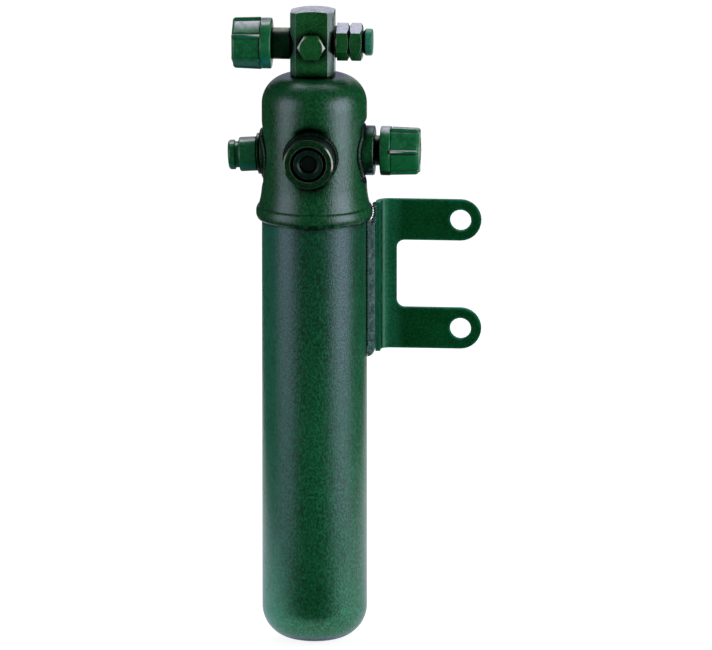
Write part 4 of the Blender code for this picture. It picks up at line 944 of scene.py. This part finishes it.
def makeStub(name, node, axis, shank, shankLength, neck, neckLength, material):
    size = stubSize
    start, end, _ = nodeReach(node, axis)
    seat = start + shankLength
    shoulder = seat + neckLength
    threads = []
    for turn in range(int((end - shoulder - size["threadFree"]) / size["pitch"])):
        foot = shoulder + size["threadStart"] + turn * size["pitch"]
        threads += [
            (size["thread"] - size["depth"], foot, 0.15 * mm), (size["thread"], foot + size["pitch"] / 2, 0.1 * mm),
        ]
    outline = roundCorners([
        (size["bore"], start, 0), (shank, start, 0), (shank, seat, 0), (neck, seat, 0.4 * mm),
        (neck, shoulder, 0.6 * mm), *threads, (size["end"], end, 0), (size["bore"], end, 0),
    ], 3)
    turnedPiece(name, outline, axis, material, (node,))


makeStub("inletStub", "inlet_stub", inletAxis, 9.0 * mm, 8.0 * mm, 8.6 * mm, 2.8 * mm, darkCoat)
makeStub("outletStub", "outlet_stub", outletAxis, 7.5 * mm, 5.6 * mm, 9.0 * mm, 10.3 * mm, darkCoat)


# Six-sided dust caps

capSize = {
    "flats": 25.2 * mm, "power": 46, "bulge": 0.22, "rib": 0.95 * mm, "ribWidth": 0.062, "groove": 0.4 * mm,
    "collar": 6.0 * mm, "draft": 0.5 * mm, "round": 2.0 * mm, "bore": 7.8 * mm, "endWall": 3.0 * mm, "steps": 432,
}


# A cap: a round collar, then a hexagon with a rib on each corner and a shallow groove beside it
def makeCap(name, node, axis, turn, collarRadius, material):
    size = capSize
    start, end, _ = nodeReach(node, axis)
    angle = aroundAngles(size["steps"])[None]
    corner = np.abs((angle - turn + math.pi / 6) % (math.pi / 3) - math.pi / 6)
    rib = size["rib"] * np.exp(-(corner / size["ribWidth"]) ** 4)
    rib = rib - size["groove"] * np.exp(-((corner / size["ribWidth"] - 1.7) / 0.5) ** 2)
    hexagon = hexRadius(angle, size["flats"], turn, size["power"])
    hexagon = hexagon + size["bulge"] * (size["flats"] / math.sqrt(3) - hexagon)
    collarEnd = start + size["collar"]
    rows = [(start, 0, -0.6 * mm), (start + 0.2 * mm, 0, -0.2 * mm), (start + 0.6 * mm, 0, 0)]
    rows += [(collarEnd - 0.7 * mm, 0, 0), (collarEnd - 0.25 * mm, 0, -0.15 * mm), (collarEnd, 0, -0.5 * mm)]
    rows += [(collarEnd, 1, -0.2 * mm), (collarEnd + 0.3 * mm, 1, 0)]
    for share in np.linspace(0.05, 1, 8):
        rows.append((collarEnd + (end - size["round"] - collarEnd) * share, 1, -size["draft"] * share))
    for bend in np.linspace(0, math.pi / 2, 9)[1:]:
        inward = size["draft"] + size["round"] * (1 - math.cos(bend))
        rows.append((end - size["round"] * (1 - math.sin(bend)), 1, -inward))
    rows = np.array(rows)
    six = rows[:, 1:2]
    radius = collarRadius * (1 - six) + (hexagon + rib) * six + rows[:, 2:3]
    height = rows[:, :1] + 0 * angle
    inner = np.array([
        (0.62 * size["flats"] / 2, end), (0.6 * size["flats"] / 2, end - 0.35 * mm), (0, end - 0.35 * mm),
        (0, end - size["endWall"]), (size["bore"], end - size["endWall"]), (size["bore"], start),
    ])
    radius = np.concatenate([radius, inner[:, :1] + 0 * angle])
    height = np.concatenate([height, inner[:, 1:2] + 0 * angle])
    gridPiece(name, onAxis(axis, radius, height, angle), material, (node,), wrapRows=True)


makeCap("inletCap", "inlet_cap", inletAxis, math.radians(-8), 14.1 * mm, inletPlastic)
makeCap("outletCap", "outlet_cap", outletAxis, math.radians(27), 14.5 * mm, capPlastic)
print("bosses, sight glass, stubs and caps made")


# The switch port and its screw cap

switchSize = {
    "bore": 3.0 * mm, "shank": 9.0 * mm, "thread": 6.5 * mm, "flange": 1.9 * mm, "groove": 7.5 * mm,
    "knob": 8.5 * mm, "skirtLength": 10.1 * mm, "grooveLength": 2.4 * mm, "shankLength": 8.0 * mm,
    "free": 0.6 * mm, "capBore": 6.8 * mm,
}


def makeSwitchPort():
    size = switchSize
    start, end, radius = nodeReach("switch_port", switchAxis)
    seat = start + size["shankLength"]
    flange = seat + size["flange"]
    port = roundCorners([
        (size["bore"], start, 0), (size["shank"], start, 0), (size["shank"], seat, 0), (radius, seat, 0.4 * mm),
        (radius, flange, 0.6 * mm), (size["thread"], flange, 0), (size["thread"], end, 0.4 * mm),
        (size["bore"], end, 0),
    ])
    turnedPiece("switchPort", port, switchAxis, darkCoat, ("switch_port",))
    capStart, capEnd, capRadius = nodeReach("switch_cap", switchAxis)
    skirtEnd = capStart + size["skirtLength"]
    grooveEnd = skirtEnd + size["grooveLength"]
    cap = roundCorners([
        (0, end + size["free"], 0), (size["capBore"], end + size["free"], 0), (size["capBore"], capStart, 0),
        (capRadius, capStart, 0.6 * mm), (capRadius, skirtEnd, 1.8 * mm), (size["groove"], skirtEnd, 0.4 * mm),
        (size["groove"], grooveEnd, 0.4 * mm), (size["knob"], grooveEnd, 0.8 * mm),
        (size["knob"], capEnd, 1.6 * mm), (0, capEnd, 0),
    ])
    turnedPiece("switchCap", cap, switchAxis, capPlastic, ("switch_cap",))


makeSwitchPort()


# The connection block with its plug and relief fitting

blockEdge = 0.9 * mm
roundedCopy("connectionBlock", "top_block", blockEdge, blockCoat)

plugSize = {"flats": 14.0 * mm, "turn": 0.0, "power": 70, "face": 0.91, "bore": 0.0, "bothEnds": False}
hexSize = {"flats": 19.0 * mm, "turn": math.radians(24), "power": 70, "face": 0.95, "bore": 5.3 * mm}
reliefSize = {"hexThick": 7.0 * mm, "neck": 6.3 * mm, "taper": 1.6 * mm}


def makePlug():
    start, end, _ = nodeReach("block_plug", plugAxis)
    washerEnd = nodeReach("plug_washer", plugAxis)[1]
    hexPiece("blockPlug", plugSize, plugAxis, washerEnd + 0.1 * mm, end, plugCoat, ("block_plug",))


def makeReliefFitting():
    size = reliefSize
    hexStart = nodeReach("relief_washer", reliefAxis)[1] + 0.3 * mm
    hexEnd = hexStart + size["hexThick"]
    nutStart, nutEnd, _ = nodeReach("relief_nut", reliefAxis)
    for name, node, bothEnds, start, end in (
        ("reliefFitting", "relief_fitting", False, hexStart, hexEnd),
        ("reliefNut", "relief_nut", True, nutStart, nutEnd),
    ):
        sides = {**hexSize, "bothEnds": bothEnds}
        hexPiece(name, sides, reliefAxis, start, end, blockCoat, (node,))
    capStart, capEnd, capRadius = nodeReach("relief_cap", reliefAxis)
    cap = roundCorners([
        (0, capStart - 1 * mm, 0), (size["neck"], capStart - 1 * mm, 0),
        (size["neck"], capStart + 0.2 * mm, 0.2 * mm), (capRadius, capStart + size["taper"], 0.5 * mm),
        (capRadius, capEnd, 0.9 * mm), (0, capEnd, 0),
    ])
    turnedPiece("reliefCap", cap, reliefAxis, reliefCapCoat, ("relief_cap",))


makePlug()
makeReliefFitting()


# The bracket and the bar that holds it off the can

bracketEdge, barEdge = 0.45 * mm, 0.6 * mm
roundedCopy("sheetBracket", "bracket", bracketEdge, bracketCoat)
roundedCopy("standoffBar", "standoff_bar", barEdge, barCoat)

barWeldSize = {"radius": 0.9 * mm, "rise": 0.9, "ripple": 0.12, "ripples": 40, "endSteps": 10, "steps": 160}
flangeWeldSize = {
    "radius": 1.5 * mm, "rise": 0.9, "ripple": 0.25, "ripples": 11, "endSteps": 14, "steps": 90,
    "foot": 5 * mm, "length": 17 * mm, "sway": 0.5 * mm,
}


# A straight bead in each corner between the bar and the can, and a rough run from the bar's top up the flange
def makeBarWelds():
    low, high = nodeBox("standoff_bar")
    count = barWeldSize["steps"]
    height = np.linspace(low[2] + 6 * mm, high[2] - 2 * mm, count)
    for name, y, way in (("barWeldFront", low[1], -1.0), ("barWeldBack", high[1], 1.0)):
        x = axisX + math.sqrt(canRadius ** 2 - (y - axisY) ** 2)
        path = columns(np.full(count, x + 0.4 * mm), np.full(count, y), height)
        outward = np.tile([0.4, way, 0.0], (count, 1))
        beadPiece(name, path, outward, barWeldSize, canCoat, closed=False)
    size = flangeWeldSize
    count = size["steps"]
    share = np.linspace(0, 1, count)
    height = high[2] - size["foot"] + size["length"] * share
    side = nodeBox("bracket")[0][0] - 0.3 * mm - size["sway"] * np.sin(7 * share)
    path = columns(side, np.full(count, low[1] + 1.5 * mm), height)
    outward = np.tile([-0.6, -1.0, 0.0], (count, 1))
    beadPiece("flangeWeld", path, outward, size, barCoat, closed=False)


makeBarWelds()
print("block, fittings and bracket made")


# Finishes of the nodes that stay as they are

def dressNodes(material, nodes):
    for node in nodes:
        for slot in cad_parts[node].material_slots:
            slot.material = material


for name, look in keptLooks.items():
    dressNodes(coatedMaterial(name, look), look["nodes"])
dressNodes(makeBeadFinish(), ("desiccant_bed",))


# Floor, lamps and camera

viewSize = {
    "azimuth": math.radians(4.5), "elevation": math.radians(12.4), "distance": 7.0, "width": 0.4066,
    "beside": 23.7 * mm, "height": 183.9 * mm, "sensor": 36.0,
}


# From the part outward, at an azimuth counted from the front and an elevation
def wayOut(azimuth, elevation):
    level = math.cos(elevation)
    return Vector((math.sin(azimuth) * level, -math.cos(azimuth) * level, math.sin(elevation)))


# The floor widens to the left behind the can, where the camera looks
floorSize = {"near": -0.06, "far": 2.2, "nearSides": (-0.26, 0.33), "farSides": (-0.52, 0.33), "glow": 0.9}


def makeFloor():
    near, far = axisY + floorSize["near"], axisY + floorSize["far"]
    mesh = bpy.data.meshes.new("paleFloor")
    corners = [(axisX + x, near, canFoot) for x in floorSize["nearSides"]]
    corners += [(axisX + x, far, canFoot) for x in floorSize["farSides"][::-1]]
    mesh.from_pydata(corners, [], [(0, 1, 2, 3)])
    floor = addObject("paleFloor", mesh)
    material, tree, shader = startMaterial("paleFloor", {"Base Color": (0.4, 0.4, 0.4, 1), "Roughness": 0.9})
    glow = addNode(tree, "ShaderNodeEmission", values={"Color": (1, 1, 1, 1), "Strength": floorSize["glow"]})
    both = addNode(tree, "ShaderNodeAddShader")
    tree.links.new(shader.outputs[0], both.inputs[0])
    tree.links.new(glow.outputs[0], both.inputs[1])
    path = addNode(tree, "ShaderNodeLightPath")
    seen = mathNode(tree, "ADD", path.outputs["Is Camera Ray"], path.outputs["Is Glossy Ray"], True)
    seen = mathNode(tree, "ADD", seen, path.outputs["Is Transmission Ray"], True)
    pick = addNode(tree, "ShaderNodeMixShader")
    tree.links.new(seen, pick.inputs[0])
    tree.links.new(shader.outputs[0], pick.inputs[1])
    tree.links.new(both.outputs[0], pick.inputs[2])
    tree.links.new(pick.outputs[0], tree.nodes["Material Output"].inputs["Surface"])
    mesh.materials.append(material)


def makeWorld():
    world = bpy.data.worlds.new("studio")
    bpy.context.scene.world = world
    world.use_nodes = True
    back = world.node_tree.nodes["Background"]
    back.inputs["Color"].default_value = (1, 1, 1, 1)
    back.inputs["Strength"].default_value = 0.03


# Each softbox stands at an azimuth counted from the camera and faces the part's middle
softboxes = {
    "rightBox": {"azimuth": 61, "lift": 0, "distance": 1.3, "wide": 0.98, "foot": -0.12, "top": 1.1, "glow": 3.2},
    "leftBox": {"azimuth": -63, "lift": 0, "distance": 1.3, "wide": 0.9, "foot": -0.15, "top": 1.1, "glow": 1.65},
    "backBox": {"azimuth": 180, "lift": 0, "distance": 2.3, "wide": 1.6, "foot": 0.35, "top": 1.8, "glow": 0.8},
    "topBox": {"azimuth": 180, "lift": 66, "distance": 1.4, "wide": 1.3, "foot": -0.45, "top": 0.4, "glow": 2.6},
}
lampColour = (0.94, 0.96, 1.0)


def makeLamps():
    for name, box in softboxes.items():
        turn = viewSize["azimuth"] + math.radians(box["azimuth"])
        lift = math.radians(box["lift"])
        tall = box["top"] - box["foot"]
        way = wayOut(turn, lift)
        up = Vector((-math.sin(turn) * math.sin(lift), math.cos(turn) * math.sin(lift), math.cos(lift)))
        lamp = bpy.data.lights.new(name, "AREA")
        lamp.shape = "RECTANGLE"
        lamp.size, lamp.size_y = box["wide"], tall
        lamp.color = lampColour
        lamp.energy = box["glow"] * math.pi * box["wide"] * tall
        holder = addObject(name, lamp)
        middle = Vector((axisX, axisY, canFoot)) + up * (box["foot"] + tall / 2)
        holder.location = middle + way * box["distance"]
        holder.rotation_euler = way.to_track_quat("Z", "Y").to_euler()


def makeCamera():
    size = viewSize
    right = Vector((math.cos(size["azimuth"]), math.sin(size["azimuth"]), 0))
    target = Vector((axisX, axisY, canFoot + size["height"])) + right * size["beside"]
    way = wayOut(size["azimuth"], size["elevation"])
    data = bpy.data.cameras.new("photoCamera")
    data.sensor_width = size["sensor"]
    data.lens = size["sensor"] * size["distance"] / size["width"]
    data.clip_end = 20.0
    camera = addObject("photoCamera", data)
    camera.location = target + way * size["distance"]
    camera.rotation_euler = way.to_track_quat("Z", "Y").to_euler()
    bpy.context.scene.camera = camera


makeFloor()
makeWorld()
makeLamps()
makeCamera()
bpy.context.scene.view_settings.view_transform = "Standard"
print("floor, lamps and camera placed")
